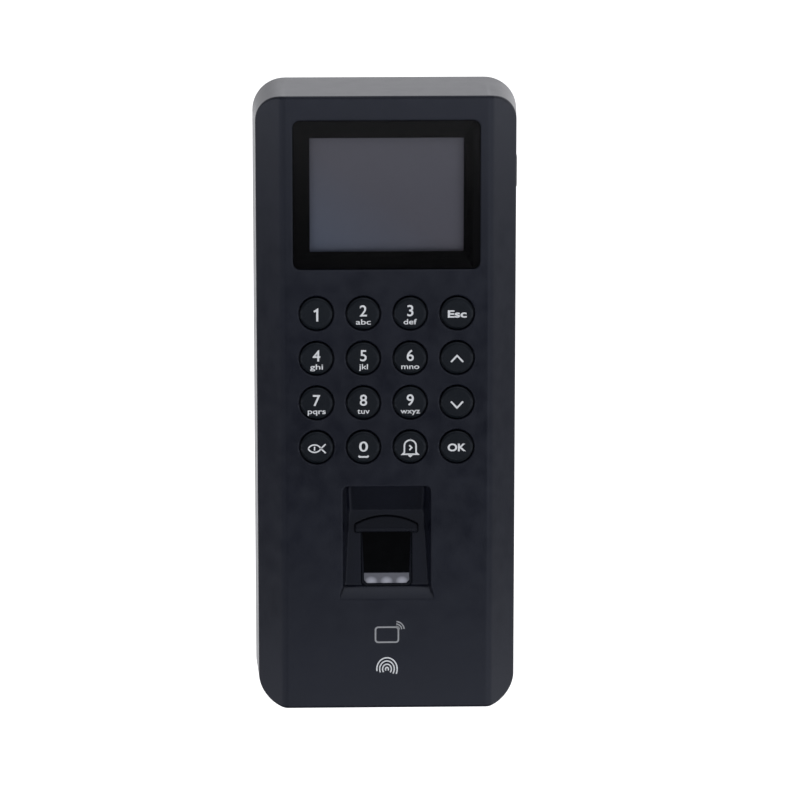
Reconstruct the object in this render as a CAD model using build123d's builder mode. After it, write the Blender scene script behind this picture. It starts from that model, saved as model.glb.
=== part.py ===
"""Wall-mounted fingerprint, card and keypad terminal, as an assembly of separate pieces.

Millimetres. The wall is the plane y = 0 and the terminal faces -Y, with +Z up. The origin is
on the wall, behind the middle of the case. A distance called a level is measured straight out
from the wall, so a point at level 10 has y = -10.
"""

import os
from math import atan2, cos, degrees, radians, sin, tan

from build123d import *

os.makedirs("parts", exist_ok=True)

# ---------------------------------------------------------------- driving dimensions

# Case: sizes of the front face, before the two side facets are cut
CASE_WIDTH = 83.3
CASE_HEIGHT = 203.4
CASE_FRONT = 31.4
CASE_RIM = 0.6
CORNER_RADIUS = 9.2
DRAFT = 2.6
WALL = 2.6
FRONT_WALL = 2.6
FACET_START = 33.7
FACET_RUN = 8.2
FACET_DROP = 8.7
CREASE_ROUND = 3.0
EDGE_ROUND = 0.8
CASE_POST_RADIUS = 3.2
BOARD_POST_RADIUS = 2.5
KEYPAD_POST_RADIUS = 2.2

# Rear cover, seal and bracket
SEAT_INSET = 1.3
SEAT_LEVEL = 4.9
COVER_BACK = 2.2
COVER_THICK = 2.2
BRACKET_THICK = 1.5
BRACKET_WIDTH = 60
BRACKET_TOP = 88
BRACKET_BOTTOM = -90
HOOK_X = 14
HOOK_Z = 76
HOOK_WIDTH = 9
HOOK_RISE = 4
LOCK_LEVEL = 9.5
LOCK_SEAT_Z = -101.3
LOCK_HEAD_RADIUS = 2.9
LOCK_THREAD_RADIUS = 1.5
BAY_WIDTH = 50
BAY_HEIGHT = 24
BAY_Z = 6

# Display
LENS_WIDTH = 60.1
LENS_HEIGHT = 48.3
LENS_RADIUS = 2.3
LENS_THICK = 1.0
LENS_RECESS = 1.2
LENS_SINK = 0.05
DISPLAY_Z = 69.6
WINDOW_WIDTH = 49.5
WINDOW_HEIGHT = 37.0
SKIN_THICK = 0.9
PANEL_WIDTH = 57
PANEL_HEIGHT = 43

# Keypad
KEY_PITCH_X = 15.15
KEY_PITCH_Z = 14.77
KEYPAD_Z = 8.83
KEY_RADIUS = 5.25
KEY_HOLE_RADIUS = 5.6
KEY_HOLE_BEVEL = 0.35
KEY_FLANGE_RADIUS = 6.6
KEY_PROUD = 0.7
KEY_BOTTOM = 27.3
MAT_BASE = 24.2
MAT_THICK = 0.8
KEY_NAMES = (
    ("1", "2", "3", "esc"),
    ("4", "5", "6", "up"),
    ("7", "8", "9", "down"),
    ("clear", "0", "bell", "ok"),
)

# Finger pocket: depths are measured back from the front face
POCKET_HALF = 14.45
POCKET_FLARE = 15.4
POCKET_TOP = -26.6
POCKET_BOTTOM = -64.7
POCKET_DEPTH = 9.0
POCKET_TOP_DEPTH = 6.6
POCKET_CORNER = 1.2
POCKET_WALL = 1.8
POCKET_DRAFT = 14
FLOOR_TOP_Z = -36.8
FLOOR_END_Z = -60.6
FLOOR_END_DEPTH = 3.9
LIP_RADIUS = 11
STOP_HALF = 10.2
STOP_TOP = -38.6
STOP_SHOULDER = -41.2
STOP_EDGE = -42.2
STOP_BOTTOM = -43.7
STOP_DEPTH = 6.0
STOP_TOP_DEPTH = 8.0
STOP_ROUND = 0.5
FRAME_HALF = 8.25
FRAME_BOTTOM = -60.9
FRAME_THICK = 3.0
BEZEL_GAP = 0.15
GLASS_TOP = -43.8
GLASS_BOTTOM = -56.6
GLASS_HALF_TOP = 7.9
GLASS_HALF_BOTTOM = 7.3
GLASS_THICK = 1.2
LIGHT_HALF = 7.4
LIGHT_TOP = -56.95
LIGHT_BOTTOM = -60.2
LIGHT_THICK = 2.0

# Boards
MAIN_BACK = 8.0
MAIN_THICK = 1.6
MAIN_WIDTH = 73
MAIN_TOP = 90
MAIN_BOTTOM = -26
ANTENNA_Z = -82

# Side port
PORT_Z = 74.2
PORT_LEVEL = 11.1
FLAP_LENGTH = 10.4
FLAP_WIDTH = 5.8
FLAP_DEPTH = 1.0
FLAP_PROUD = 0.12

# Fasteners
SCREW_RADIUS = 1.25
PILOT_RADIUS = 1.3
CASE_SCREWS = ((33, 95.5), (-33, 95.5), (36.3, -32), (-36.3, -32), (33, -95.5), (-33, -95.5))
BOARD_SCREWS = ((33, 86), (-33, 86), (33, 42), (-33, 42), (33, -22), (-33, -22))

# ---------------------------------------------------------------- derived values

FRONT_INNER = CASE_FRONT - FRONT_WALL
LENS_FLOOR = CASE_FRONT - LENS_RECESS
LENS_FRONT = CASE_FRONT - LENS_SINK
SKIN_BACK = LENS_FLOOR - SKIN_THICK
MAIN_FRONT = MAIN_BACK + MAIN_THICK
KEY_POINTS = [
    (KEY_NAMES[row][column], (column - 1.5) * KEY_PITCH_X, KEYPAD_Z + (1.5 - row) * KEY_PITCH_Z)
    for row in range(4)
    for column in range(4)
]
KEY_CENTRES = [(x, z) for _, x, z in KEY_POINTS]
KEYPAD_POSTS = [
    (sx * KEY_PITCH_X, KEYPAD_Z + sz * KEY_PITCH_Z) for sx in (-1, 1) for sz in (-1, 1)
]

# The pocket floor is a plane that faces out and up, under the fingertip
FLOOR_SLOPE = degrees(atan2(POCKET_DEPTH - FLOOR_END_DEPTH, FLOOR_TOP_Z - FLOOR_END_Z))


def floor_depth(z):
    """Depth of the pocket floor behind the front face at height z."""
    return FLOOR_END_DEPTH + (z - FLOOR_END_Z) * tan(radians(FLOOR_SLOPE))


def level(distance):
    """Plane parallel to the wall, facing out, with x to the right and y up."""
    return Plane.XZ.offset(distance)


def floor_plane(z, lift=0.0):
    """Plane on the pocket floor at height z, facing the fingertip, y up the slope."""
    facing = Vector(0, -cos(radians(FLOOR_SLOPE)), sin(radians(FLOOR_SLOPE)))
    origin = Vector(0, -(CASE_FRONT - floor_depth(z)), z) + facing * lift
    return Plane(origin=origin, x_dir=(1, 0, 0), z_dir=facing)


def half_width(at_level):
    """Half the case's outer width at a level, on the drafted side wall."""
    return CASE_WIDTH / 2 + (CASE_FRONT - at_level) * tan(radians(DRAFT))


def case_form(inset, front, back):
    """Solid of the case's shape, moved inwards by inset, between two levels."""
    facet_length = (FACET_RUN**2 + FACET_DROP**2) ** 0.5
    along = Vector(FACET_RUN / facet_length, FACET_DROP / facet_length)
    outward = Vector(FACET_DROP / facet_length, -FACET_RUN / facet_length)
    start = Vector(FACET_START, -CASE_FRONT) - outward * inset
    reach = 60
    corners = [
        start - along * reach,
        start + along * reach,
        start + along * reach + outward * reach,
        start - along * reach + outward * reach,
    ]
    with BuildPart() as form:
        for at_level in (back, front):
            growth = (CASE_FRONT - at_level) * tan(radians(DRAFT)) - inset
            with BuildSketch(level(at_level)):
                RectangleRounded(
                    CASE_WIDTH + 2 * growth,
                    CASE_HEIGHT + 2 * growth,
                    CORNER_RADIUS + growth,
                )
        loft()
        with BuildSketch(Plane.XY.offset(-CASE_HEIGHT)):
            for side in (-1, 1):
                with BuildLine():
                    Polyline(*[(side * c.X, c.Y) for c in corners], close=True)
                make_face()
        extrude(amount=2 * CASE_HEIGHT, mode=Mode.SUBTRACT)
    return form.part


def outer_edges(faces):
    """Edges that bound a group of neighbouring faces, without the edges between them."""
    edges = [edge for face in faces for edge in face.edges()]
    return [edge for edge in edges if sum(edge.is_same(other) for other in edges) == 1]


def rounded_plate(width, height, radius, back, front, z=0.0, x=0.0):
    """Plate parallel to the wall between two levels, centred on x and z."""
    with BuildPart() as plate:
        with BuildSketch(level(back)):
            with Locations((x, z)):
                RectangleRounded(width, height, radius)
        extrude(amount=front - back)
    return plate.part


def screw_set(points, head_level, head_radius, head_height, shank_length, outwards=True):
    """Pan-head screws on the given points; heads on the wall side when outwards is True."""
    sign = 1 if outwards else -1
    with BuildPart() as screws:
        with BuildSketch(level(head_level)):
            with Locations(*points):
                Circle(head_radius)
        extrude(amount=-sign * head_height)
        head_rims = screws.edges().filter_by(GeomType.CIRCLE).group_by(Axis.Y)
        fillet(head_rims[-1] if outwards else head_rims[0], head_height * 0.35)
        with BuildSketch(level(head_level)):
            with Locations(*points):
                Circle(SCREW_RADIUS)
        extrude(amount=sign * shank_length)
        with BuildSketch(level(head_level - sign * head_height)):
            with Locations(*points):
                for turn in (0, 90):
                    Rectangle(head_radius * 1.1, head_radius * 0.26, rotation=turn)
        extrude(amount=sign * head_height * 0.5, mode=Mode.SUBTRACT)
    return screws.part


def pocket_outline(grow):
    """Outline of the pocket's mouth, larger all round by grow, flared at its lower end."""
    right_side = [
        (POCKET_HALF + grow, POCKET_TOP + grow),
        (POCKET_HALF + grow, FLOOR_END_Z),
        (POCKET_FLARE + grow, POCKET_BOTTOM + 1.5),
        (POCKET_FLARE + grow, POCKET_BOTTOM - 4 - grow),
    ]
    left_side = [(-x, z) for x, z in reversed(right_side)]
    return right_side + left_side


def pocket_form(grow):
    """The hollow a fingertip goes into, made larger all round by grow."""
    mouth = 1.0
    draft_back = POCKET_DEPTH + grow
    with BuildPart() as hollow:
        with BuildSketch(level(CASE_FRONT)) as mouth_sketch:
            with BuildLine():
                Polyline(*pocket_outline(grow), close=True)
            make_face()
            fillet(mouth_sketch.vertices().group_by(Axis.Y)[-1], 1.7 + grow)
        extrude(amount=-draft_back, taper=POCKET_DRAFT)
        extrude(mouth_sketch.sketch, amount=mouth)
        with BuildSketch(Plane.YZ):
            with BuildLine():
                top = Line(
                    (-CASE_FRONT - mouth, POCKET_TOP + grow + 1),
                    (-CASE_FRONT + POCKET_TOP_DEPTH + grow, POCKET_TOP + grow + 1),
                )
                back = Line(top @ 1, (-CASE_FRONT + draft_back, FLOOR_TOP_Z))
                floor = Line(back @ 1, (-CASE_FRONT + FLOOR_END_DEPTH + grow, FLOOR_END_Z))
                lip = RadiusArc(
                    floor @ 1,
                    (-CASE_FRONT, POCKET_BOTTOM - grow),
                    radius=-LIP_RADIUS - grow,
                )
                out = Line(lip @ 1, (-CASE_FRONT - mouth, POCKET_BOTTOM - grow))
                Line(out @ 1, top @ 0)
            make_face()
        extrude(amount=POCKET_FLARE + grow + 2, both=True, mode=Mode.INTERSECT)
        back_face = hollow.faces().sort_by(Axis.Y)[-1]
        back_corners = back_face.edges().filter_by(lambda edge: abs(edge.tangent_at(0.5).X) < 0.5)
        fillet(back_corners, POCKET_CORNER)
    return hollow.part


def stop_outline(grow):
    """Arched outline of the fingertip stop, larger all round by grow."""
    half, bottom = STOP_HALF + grow, STOP_BOTTOM - grow
    with BuildSketch() as outline:
        with BuildLine():
            arch = ThreePointArc((-half, STOP_SHOULDER), (0, STOP_TOP + grow), (half, STOP_SHOULDER))
            Polyline(arch @ 1, (half, bottom), (-half, bottom), arch @ 0)
        make_face()
    return outline.sketch


# ---------------------------------------------------------------- front shell

with BuildPart() as screw_posts:
    with BuildSketch(level(SEAT_LEVEL + 0.5)):
        with Locations(*CASE_SCREWS):
            Circle(CASE_POST_RADIUS)
    extrude(amount=CASE_FRONT - SEAT_LEVEL)
    with BuildSketch(level(MAIN_FRONT)):
        with Locations(*BOARD_SCREWS):
            Circle(BOARD_POST_RADIUS)
    extrude(amount=CASE_FRONT - MAIN_FRONT)
    with BuildSketch(level(MAT_BASE)):
        with Locations(*KEYPAD_POSTS):
            Circle(KEYPAD_POST_RADIUS)
    extrude(amount=CASE_FRONT - MAT_BASE)
    add(pocket_form(POCKET_WALL))
    add(case_form(1.2, CASE_FRONT - 1.2, CASE_RIM + 2), mode=Mode.INTERSECT)

with BuildPart() as front_shell:
    add(case_form(0, CASE_FRONT, CASE_RIM))
    # soften the two creases, then the rim all round the front face and its facets
    fillet(front_shell.faces().sort_by(Axis.Y)[0].edges().filter_by(Axis.Z), CREASE_ROUND)
    front_faces = front_shell.faces().filter_by(lambda face: face.normal_at().Y < -0.3)
    fillet(outer_edges(front_faces), EDGE_ROUND)
    add(case_form(WALL, FRONT_INNER, -1), mode=Mode.SUBTRACT)
    add(case_form(SEAT_INSET, SEAT_LEVEL, -1), mode=Mode.SUBTRACT)
    add(screw_posts.part)
    # display recess, the window through it, and the thinned wall behind it
    with BuildSketch(level(LENS_FLOOR)):
        with Locations((0, DISPLAY_Z)):
            RectangleRounded(LENS_WIDTH + 0.3, LENS_HEIGHT + 0.3, LENS_RADIUS + 0.15)
    extrude(amount=LENS_RECESS + 1, mode=Mode.SUBTRACT)
    with BuildSketch(level(FRONT_INNER - 1)):
        with Locations((0, DISPLAY_Z)):
            Rectangle(WINDOW_WIDTH + 1.6, WINDOW_HEIGHT + 1.6)
    extrude(amount=FRONT_WALL + 2, mode=Mode.SUBTRACT)
    with BuildSketch(level(FRONT_INNER - 1)):
        with Locations((0, DISPLAY_Z)):
            RectangleRounded(PANEL_WIDTH + 4, PANEL_HEIGHT + 4, 1)
    extrude(amount=SKIN_BACK - FRONT_INNER + 1, mode=Mode.SUBTRACT)
    # key holes, bevelled at the front
    with BuildSketch(level(FRONT_INNER - 0.5)):
        with Locations(*KEY_CENTRES):
            Circle(KEY_HOLE_RADIUS)
    extrude(amount=FRONT_WALL + 1, mode=Mode.SUBTRACT)
    hole_rims = front_shell.edges().filter_by(GeomType.CIRCLE).filter_by(
        lambda rim: abs(rim.radius - KEY_HOLE_RADIUS) < 0.01
        and abs(rim.center().Y + CASE_FRONT) < 0.01
    )
    chamfer(hole_rims, KEY_HOLE_BEVEL)
    # finger pocket and the opening in its floor
    add(pocket_form(0), mode=Mode.SUBTRACT)
    with BuildSketch(level(FRONT_INNER - 12)):
        add(stop_outline(BEZEL_GAP))
        with Locations((0, (STOP_SHOULDER + FRAME_BOTTOM - BEZEL_GAP) / 2)):
            RectangleRounded(
                2 * FRAME_HALF + 2 * BEZEL_GAP,
                STOP_SHOULDER - FRAME_BOTTOM + BEZEL_GAP,
                1.6,
            )
    extrude(amount=FRONT_WALL + 12, mode=Mode.SUBTRACT)
    # pilot holes for the screws
    with BuildSketch(level(SEAT_LEVEL)):
        with Locations(*CASE_SCREWS):
            Circle(PILOT_RADIUS)
    extrude(amount=9, mode=Mode.SUBTRACT)
    with BuildSketch(level(MAIN_FRONT)):
        with Locations(*BOARD_SCREWS):
            Circle(PILOT_RADIUS)
    extrude(amount=8, mode=Mode.SUBTRACT)
    with BuildSketch(level(MAT_BASE)):
        with Locations(*KEYPAD_POSTS):
            Circle(PILOT_RADIUS)
    extrude(amount=4.5, mode=Mode.SUBTRACT)
    # lock screw hole in the bottom wall, countersunk for its head
    with BuildSketch(Plane.XY.offset(-CASE_HEIGHT / 2 - 5)):
        with Locations((0, -LOCK_LEVEL)):
            Circle(LOCK_THREAD_RADIUS + 0.2)
    extrude(amount=12, mode=Mode.SUBTRACT)
    with BuildSketch(Plane.XY.offset(LOCK_SEAT_Z)):
        with Locations((0, -LOCK_LEVEL)):
            Circle(LOCK_HEAD_RADIUS + 0.3)
    extrude(amount=-5, mode=Mode.SUBTRACT)
    # side port: a shallow recess for its cover and the slot of the socket
    with BuildSketch(Plane.YZ.offset(half_width(PORT_LEVEL) - FLAP_DEPTH)):
        with Locations((-PORT_LEVEL, PORT_Z)):
            RectangleRounded(FLAP_WIDTH + 0.3, FLAP_LENGTH + 0.3, 1.2)
    extrude(amount=4, mode=Mode.SUBTRACT)
    with BuildSketch(Plane.YZ.offset(half_width(PORT_LEVEL) - WALL - 2)):
        with Locations((-PORT_LEVEL, PORT_Z)):
            RectangleRounded(3.2, 8.2, 0.8)
    extrude(amount=4, mode=Mode.SUBTRACT)
front_shell.part.label = "front_shell"
export_step(front_shell.part, "parts/front_shell.step")

# ---------------------------------------------------------------- rear cover, seal, bracket

HOOK_SLOT_HEIGHT = HOOK_RISE + 3.5
HOOK_SLOT_Z = HOOK_Z + 0.05 - HOOK_SLOT_HEIGHT / 2
TAMPER_X = -24
TAMPER_Z = 40

with BuildPart() as rear_cover:
    add(case_form(SEAT_INSET + 0.2, COVER_BACK + COVER_THICK, COVER_BACK))
    # stiffening rim that drops inside the ledge
    add(case_form(WALL + 0.3, SEAT_LEVEL + 1.4, COVER_BACK + COVER_THICK - 0.2))
    add(case_form(WALL + 1.8, SEAT_LEVEL + 2, COVER_BACK + COVER_THICK), mode=Mode.SUBTRACT)
    with BuildSketch(level(COVER_BACK)):
        with Locations(*CASE_SCREWS):
            Circle(4.4)
    extrude(amount=COVER_THICK)
    # clear the posts of the shell
    with BuildSketch(level(COVER_BACK + COVER_THICK)):
        with Locations(*CASE_SCREWS):
            Circle(3.5)
    extrude(amount=5, mode=Mode.SUBTRACT)
    with BuildSketch(level(COVER_BACK - 1)):
        with Locations(*CASE_SCREWS):
            Circle(1.6)
    extrude(amount=COVER_THICK + 2, mode=Mode.SUBTRACT)
    # connector bay, hook slots, lock tab slot and tamper hole
    with BuildSketch(level(COVER_BACK - 1)):
        with Locations((0, BAY_Z)):
            RectangleRounded(BAY_WIDTH, BAY_HEIGHT, 2)
        with Locations((HOOK_X, HOOK_SLOT_Z), (-HOOK_X, HOOK_SLOT_Z)):
            Rectangle(HOOK_WIDTH + 1.2, HOOK_SLOT_HEIGHT)
        with Locations((0, BRACKET_BOTTOM + BRACKET_THICK / 2)):
            Rectangle(13, BRACKET_THICK + 3)
        with Locations((TAMPER_X, TAMPER_Z)):
            Circle(1.8)
    extrude(amount=COVER_THICK + 2, mode=Mode.SUBTRACT)
    # raised frame around the connector bay, on the inside
    with BuildSketch(level(COVER_BACK + COVER_THICK)):
        with Locations((0, BAY_Z)):
            RectangleRounded(BAY_WIDTH + 3, BAY_HEIGHT + 3, 3.5)
            RectangleRounded(BAY_WIDTH, BAY_HEIGHT, 2, mode=Mode.SUBTRACT)
    extrude(amount=2.4)
rear_cover.part.label = "rear_cover"
export_step(rear_cover.part, "parts/rear_cover.step")

with BuildPart() as rear_seal:
    add(case_form(SEAT_INSET + 0.25, SEAT_LEVEL - 0.02, COVER_BACK + COVER_THICK + 0.02))
    add(case_form(WALL + 0.1, SEAT_LEVEL + 1, COVER_BACK), mode=Mode.SUBTRACT)
rear_seal.part.label = "rear_seal"
export_step(rear_seal.part, "parts/rear_seal.step")

WALL_HOLE_RADIUS = 2.1
WALL_HOLE_X = 46
WALL_HOLE_Z = 120
BRACKET_WINDOW = (44, 34)

with BuildPart() as wall_bracket:
    with BuildSketch(Plane.XZ):
        with Locations((0, (BRACKET_TOP + BRACKET_BOTTOM) / 2)):
            RectangleRounded(BRACKET_WIDTH, BRACKET_TOP - BRACKET_BOTTOM, 5)
        with GridLocations(WALL_HOLE_X, WALL_HOLE_Z, 2, 2):
            Circle(WALL_HOLE_RADIUS, mode=Mode.SUBTRACT)
        with Locations((0, BAY_Z)):
            RectangleRounded(*BRACKET_WINDOW, 4, mode=Mode.SUBTRACT)
        with Locations((0, -52), (0, 50)):
            SlotOverall(26, 8, mode=Mode.SUBTRACT)
    extrude(amount=BRACKET_THICK)
    # two upturned hooks
    for side in (-1, 1):
        with BuildSketch(Plane.YZ.offset(side * HOOK_X)):
            with BuildLine():
                Polyline(
                    (-BRACKET_THICK + 0.3, HOOK_Z - BRACKET_THICK),
                    (-6.2, HOOK_Z - BRACKET_THICK),
                    (-6.2, HOOK_Z + HOOK_RISE),
                    (-4.7, HOOK_Z + HOOK_RISE),
                    (-4.7, HOOK_Z),
                    (-BRACKET_THICK + 0.3, HOOK_Z),
                    close=True,
                )
            make_face()
        extrude(amount=HOOK_WIDTH / 2, both=True)
    # lock tab at the bottom, tapped for the lock screw
    with BuildSketch(Plane.XY.offset(BRACKET_BOTTOM)):
        with Locations((0, -(LOCK_LEVEL + 3.5) / 2)):
            Rectangle(11, LOCK_LEVEL + 3.5)
    extrude(amount=BRACKET_THICK)
    with BuildSketch(Plane.XY.offset(BRACKET_BOTTOM - 1)):
        with Locations((0, -LOCK_LEVEL)):
            Circle(LOCK_THREAD_RADIUS + 0.05)
    extrude(amount=BRACKET_THICK + 2, mode=Mode.SUBTRACT)
    chamfer(wall_bracket.faces().sort_by(Axis.Y)[-1].edges(), 0.2)
wall_bracket.part.label = "wall_bracket"
export_step(wall_bracket.part, "parts/wall_bracket.step")

case_screws = screw_set(CASE_SCREWS, COVER_BACK, 2.5, 1.4, 9)
case_screws.label = "case_screws"
export_step(case_screws, "parts/case_screws.step")

with BuildPart() as lock_screw:
    with BuildSketch(Plane.XY.offset(LOCK_SEAT_Z - 0.02)):
        with Locations((0, -LOCK_LEVEL)):
            Circle(LOCK_HEAD_RADIUS)
    extrude(amount=-1.2)
    with BuildSketch(Plane.XY.offset(LOCK_SEAT_Z - 0.5)):
        with Locations((0, -LOCK_LEVEL)):
            Circle(LOCK_THREAD_RADIUS)
    extrude(amount=BRACKET_BOTTOM + BRACKET_THICK + 1.5 - LOCK_SEAT_Z + 0.5)
    with BuildSketch(Plane.XY.offset(LOCK_SEAT_Z - 1.3)):
        with Locations((0, -LOCK_LEVEL)):
            RegularPolygon(1.15, 6)
            Circle(0.45, mode=Mode.SUBTRACT)
    extrude(amount=1.0, mode=Mode.SUBTRACT)
lock_screw.part.label = "lock_screw"
export_step(lock_screw.part, "parts/lock_screw.step")

# ---------------------------------------------------------------- display

with BuildPart() as display_lens:
    with BuildSketch(level(LENS_FRONT - LENS_THICK)):
        with Locations((0, DISPLAY_Z)):
            RectangleRounded(LENS_WIDTH, LENS_HEIGHT, LENS_RADIUS)
    extrude(amount=LENS_THICK)
    chamfer(display_lens.faces().sort_by(Axis.Y)[0].edges(), 0.15)
display_lens.part.label = "display_lens"
export_step(display_lens.part, "parts/display_lens.step")

with BuildPart() as lens_mask:
    with BuildSketch(level(LENS_FLOOR)):
        with Locations((0, DISPLAY_Z)):
            RectangleRounded(LENS_WIDTH, LENS_HEIGHT, LENS_RADIUS)
            RectangleRounded(WINDOW_WIDTH, WINDOW_HEIGHT, 0.3, mode=Mode.SUBTRACT)
    extrude(amount=LENS_FRONT - LENS_THICK - LENS_FLOOR)
lens_mask.part.label = "lens_mask"
export_step(lens_mask.part, "parts/lens_mask.step")

with BuildPart() as lcd_gasket:
    with BuildSketch(level(SKIN_BACK - 0.4)):
        with Locations((0, DISPLAY_Z)):
            Rectangle(PANEL_WIDTH - 0.5, PANEL_HEIGHT - 0.5)
            Rectangle(WINDOW_WIDTH + 2.4, WINDOW_HEIGHT + 2.4, mode=Mode.SUBTRACT)
    extrude(amount=0.4)
lcd_gasket.part.label = "lcd_gasket"
export_step(lcd_gasket.part, "parts/lcd_gasket.step")

PANEL_FRONT = SKIN_BACK - 0.4
PANEL_BACK = PANEL_FRONT - 1.4
LIGHT_BACK = PANEL_BACK - 2.0

lcd_panel = rounded_plate(PANEL_WIDTH, PANEL_HEIGHT, 0.3, PANEL_BACK, PANEL_FRONT, DISPLAY_Z)
lcd_panel.label = "lcd_panel"
export_step(lcd_panel, "parts/lcd_panel.step")

lcd_backlight = rounded_plate(
    PANEL_WIDTH, PANEL_HEIGHT, 0.6, LIGHT_BACK, PANEL_BACK - 0.02, DISPLAY_Z
)
lcd_backlight.label = "lcd_backlight"
export_step(lcd_backlight, "parts/lcd_backlight.step")

with BuildPart() as lcd_frame:
    with BuildSketch(level(LIGHT_BACK - 0.35)):
        with Locations((0, DISPLAY_Z)):
            RectangleRounded(PANEL_WIDTH + 1, PANEL_HEIGHT + 1, 0.8)
    extrude(amount=PANEL_BACK + 0.5 - LIGHT_BACK + 0.35)
    with BuildSketch(level(LIGHT_BACK - 0.05)):
        with Locations((0, DISPLAY_Z)):
            RectangleRounded(PANEL_WIDTH + 0.3, PANEL_HEIGHT + 0.3, 0.6)
    extrude(amount=5, mode=Mode.SUBTRACT)
lcd_frame.part.label = "lcd_frame"
export_step(lcd_frame.part, "parts/lcd_frame.step")

HOLDER_BACK = LIGHT_BACK - 0.4 - 1.6

with BuildPart() as lcd_holder:
    with BuildSketch(level(HOLDER_BACK)):
        with Locations((0, DISPLAY_Z)):
            RectangleRounded(PANEL_WIDTH + 3.6, PANEL_HEIGHT + 3.6, 2)
            with GridLocations(26, 19, 2, 2):
                RectangleRounded(21, 14, 2, mode=Mode.SUBTRACT)
    extrude(amount=1.6)
    with BuildSketch(level(HOLDER_BACK + 1.6)):
        with Locations((0, DISPLAY_Z)):
            RectangleRounded(PANEL_WIDTH + 3.6, PANEL_HEIGHT + 3.6, 2)
            RectangleRounded(PANEL_WIDTH + 1.2, PANEL_HEIGHT + 1.2, 0.9, mode=Mode.SUBTRACT)
    extrude(amount=SKIN_BACK - 0.1 - HOLDER_BACK - 1.6)
lcd_holder.part.label = "lcd_holder"
export_step(lcd_holder.part, "parts/lcd_holder.step")


def ribbon(width, path_points, thickness=0.2, x=0.0):
    """Flat flexible cable of the given width, bent along points of (level, z)."""
    with BuildPart() as strip:
        with BuildSketch(Plane.YZ.offset(x)):
            with BuildLine() as route:
                FilletPolyline(*[(-at, z) for at, z in path_points], radius=1.2)
            trace(route.line, thickness)
        extrude(amount=width / 2, both=True)
    return strip.part


lcd_flex = ribbon(
    18,
    [
        (HOLDER_BACK - 0.3, DISPLAY_Z - 6),
        (HOLDER_BACK - 0.3, DISPLAY_Z - 23),
        (MAIN_FRONT + 5, DISPLAY_Z - 26),
        (MAIN_FRONT + 1.4, DISPLAY_Z - 20),
    ],
    x=6,
)
lcd_flex.label = "lcd_flex"
export_step(lcd_flex, "parts/lcd_flex.step")

# ---------------------------------------------------------------- keypad

for name, key_x, key_z in KEY_POINTS:
    with BuildPart() as key:
        with BuildSketch(Plane.XY.offset(key_z)):
            with BuildLine():
                crown = CASE_FRONT + KEY_PROUD
                axis_low = (key_x, -KEY_BOTTOM)
                flange_low = (key_x + KEY_FLANGE_RADIUS, -KEY_BOTTOM)
                flange_high = (key_x + KEY_FLANGE_RADIUS, -KEY_BOTTOM - 1.1)
                waist = (key_x + KEY_RADIUS, -KEY_BOTTOM - 1.1)
                shoulder = (key_x + KEY_RADIUS, -CASE_FRONT - 0.15)
                rim = (key_x + KEY_RADIUS - 0.85, -crown)
                middle = (key_x, -crown)
                Polyline(axis_low, flange_low, flange_high, waist, shoulder)
                RadiusArc(shoulder, rim, radius=1.1)
                Polyline(rim, middle, axis_low)
            make_face()
        revolve(axis=Axis((key_x, 0, key_z), (0, 1, 0)))
    key.part.label = f"key_{name}"
    export_step(key.part, f"parts/key_{name}.step")

MAT_WIDTH = 61
MAT_HEIGHT = 60
MAT_TOP = MAT_BASE + MAT_THICK

with BuildPart() as keypad_mat:
    with BuildSketch(level(MAT_BASE)):
        with Locations((0, KEYPAD_Z)):
            RectangleRounded(MAT_WIDTH, MAT_HEIGHT, 2)
        with Locations(*KEYPAD_POSTS):
            Circle(2.6, mode=Mode.SUBTRACT)
    extrude(amount=MAT_THICK)
    with BuildSketch(level(MAT_TOP)):
        with Locations(*KEY_CENTRES):
            Circle(4.3)
    extrude(amount=KEY_BOTTOM - 0.1 - MAT_TOP, taper=25)
    with BuildSketch(level(MAT_BASE)):
        with Locations(*KEY_CENTRES):
            Circle(3.6)
    extrude(amount=2.0, taper=20, mode=Mode.SUBTRACT)
keypad_mat.part.label = "keypad_mat"
export_step(keypad_mat.part, "parts/keypad_mat.step")

BOARD_THICK = 1.4

with BuildPart() as keypad_board:
    with BuildSketch(level(MAT_BASE - BOARD_THICK)):
        with Locations((0, KEYPAD_Z)):
            RectangleRounded(MAT_WIDTH - 1, MAT_HEIGHT, 1.5)
        with Locations(*KEYPAD_POSTS):
            Circle(1.5, mode=Mode.SUBTRACT)
    extrude(amount=BOARD_THICK)
    with BuildSketch(level(MAT_BASE - BOARD_THICK)):
        with Locations((0, KEYPAD_Z - 24)):
            Rectangle(22, 4.4)
    extrude(amount=-2.0)
keypad_board.part.label = "keypad_board"
export_step(keypad_board.part, "parts/keypad_board.step")

with BuildPart() as key_contacts:
    with BuildSketch(level(MAT_BASE)):
        with Locations(*KEY_CENTRES):
            Circle(2.6)
            Rectangle(0.3, 6, mode=Mode.SUBTRACT)
    extrude(amount=0.08)
key_contacts.part.label = "key_contacts"
export_step(key_contacts.part, "parts/key_contacts.step")

keypad_screws = screw_set(KEYPAD_POSTS, MAT_BASE - BOARD_THICK, 2.2, 1.3, 5)
keypad_screws.label = "keypad_screws"
export_step(keypad_screws, "parts/keypad_screws.step")

keypad_flex = ribbon(
    16,
    [
        (MAT_BASE - BOARD_THICK - 1.0, KEYPAD_Z - 26.4),
        (MAT_BASE - BOARD_THICK - 1.0, KEYPAD_Z - 31),
        (MAIN_FRONT + 4, KEYPAD_Z - 32),
        (MAIN_FRONT + 1.2, KEYPAD_Z - 26),
    ],
    x=0,
)
keypad_flex.label = "keypad_flex"
export_step(keypad_flex, "parts/keypad_flex.step")

# ---------------------------------------------------------------- fingerprint sensor

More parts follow.
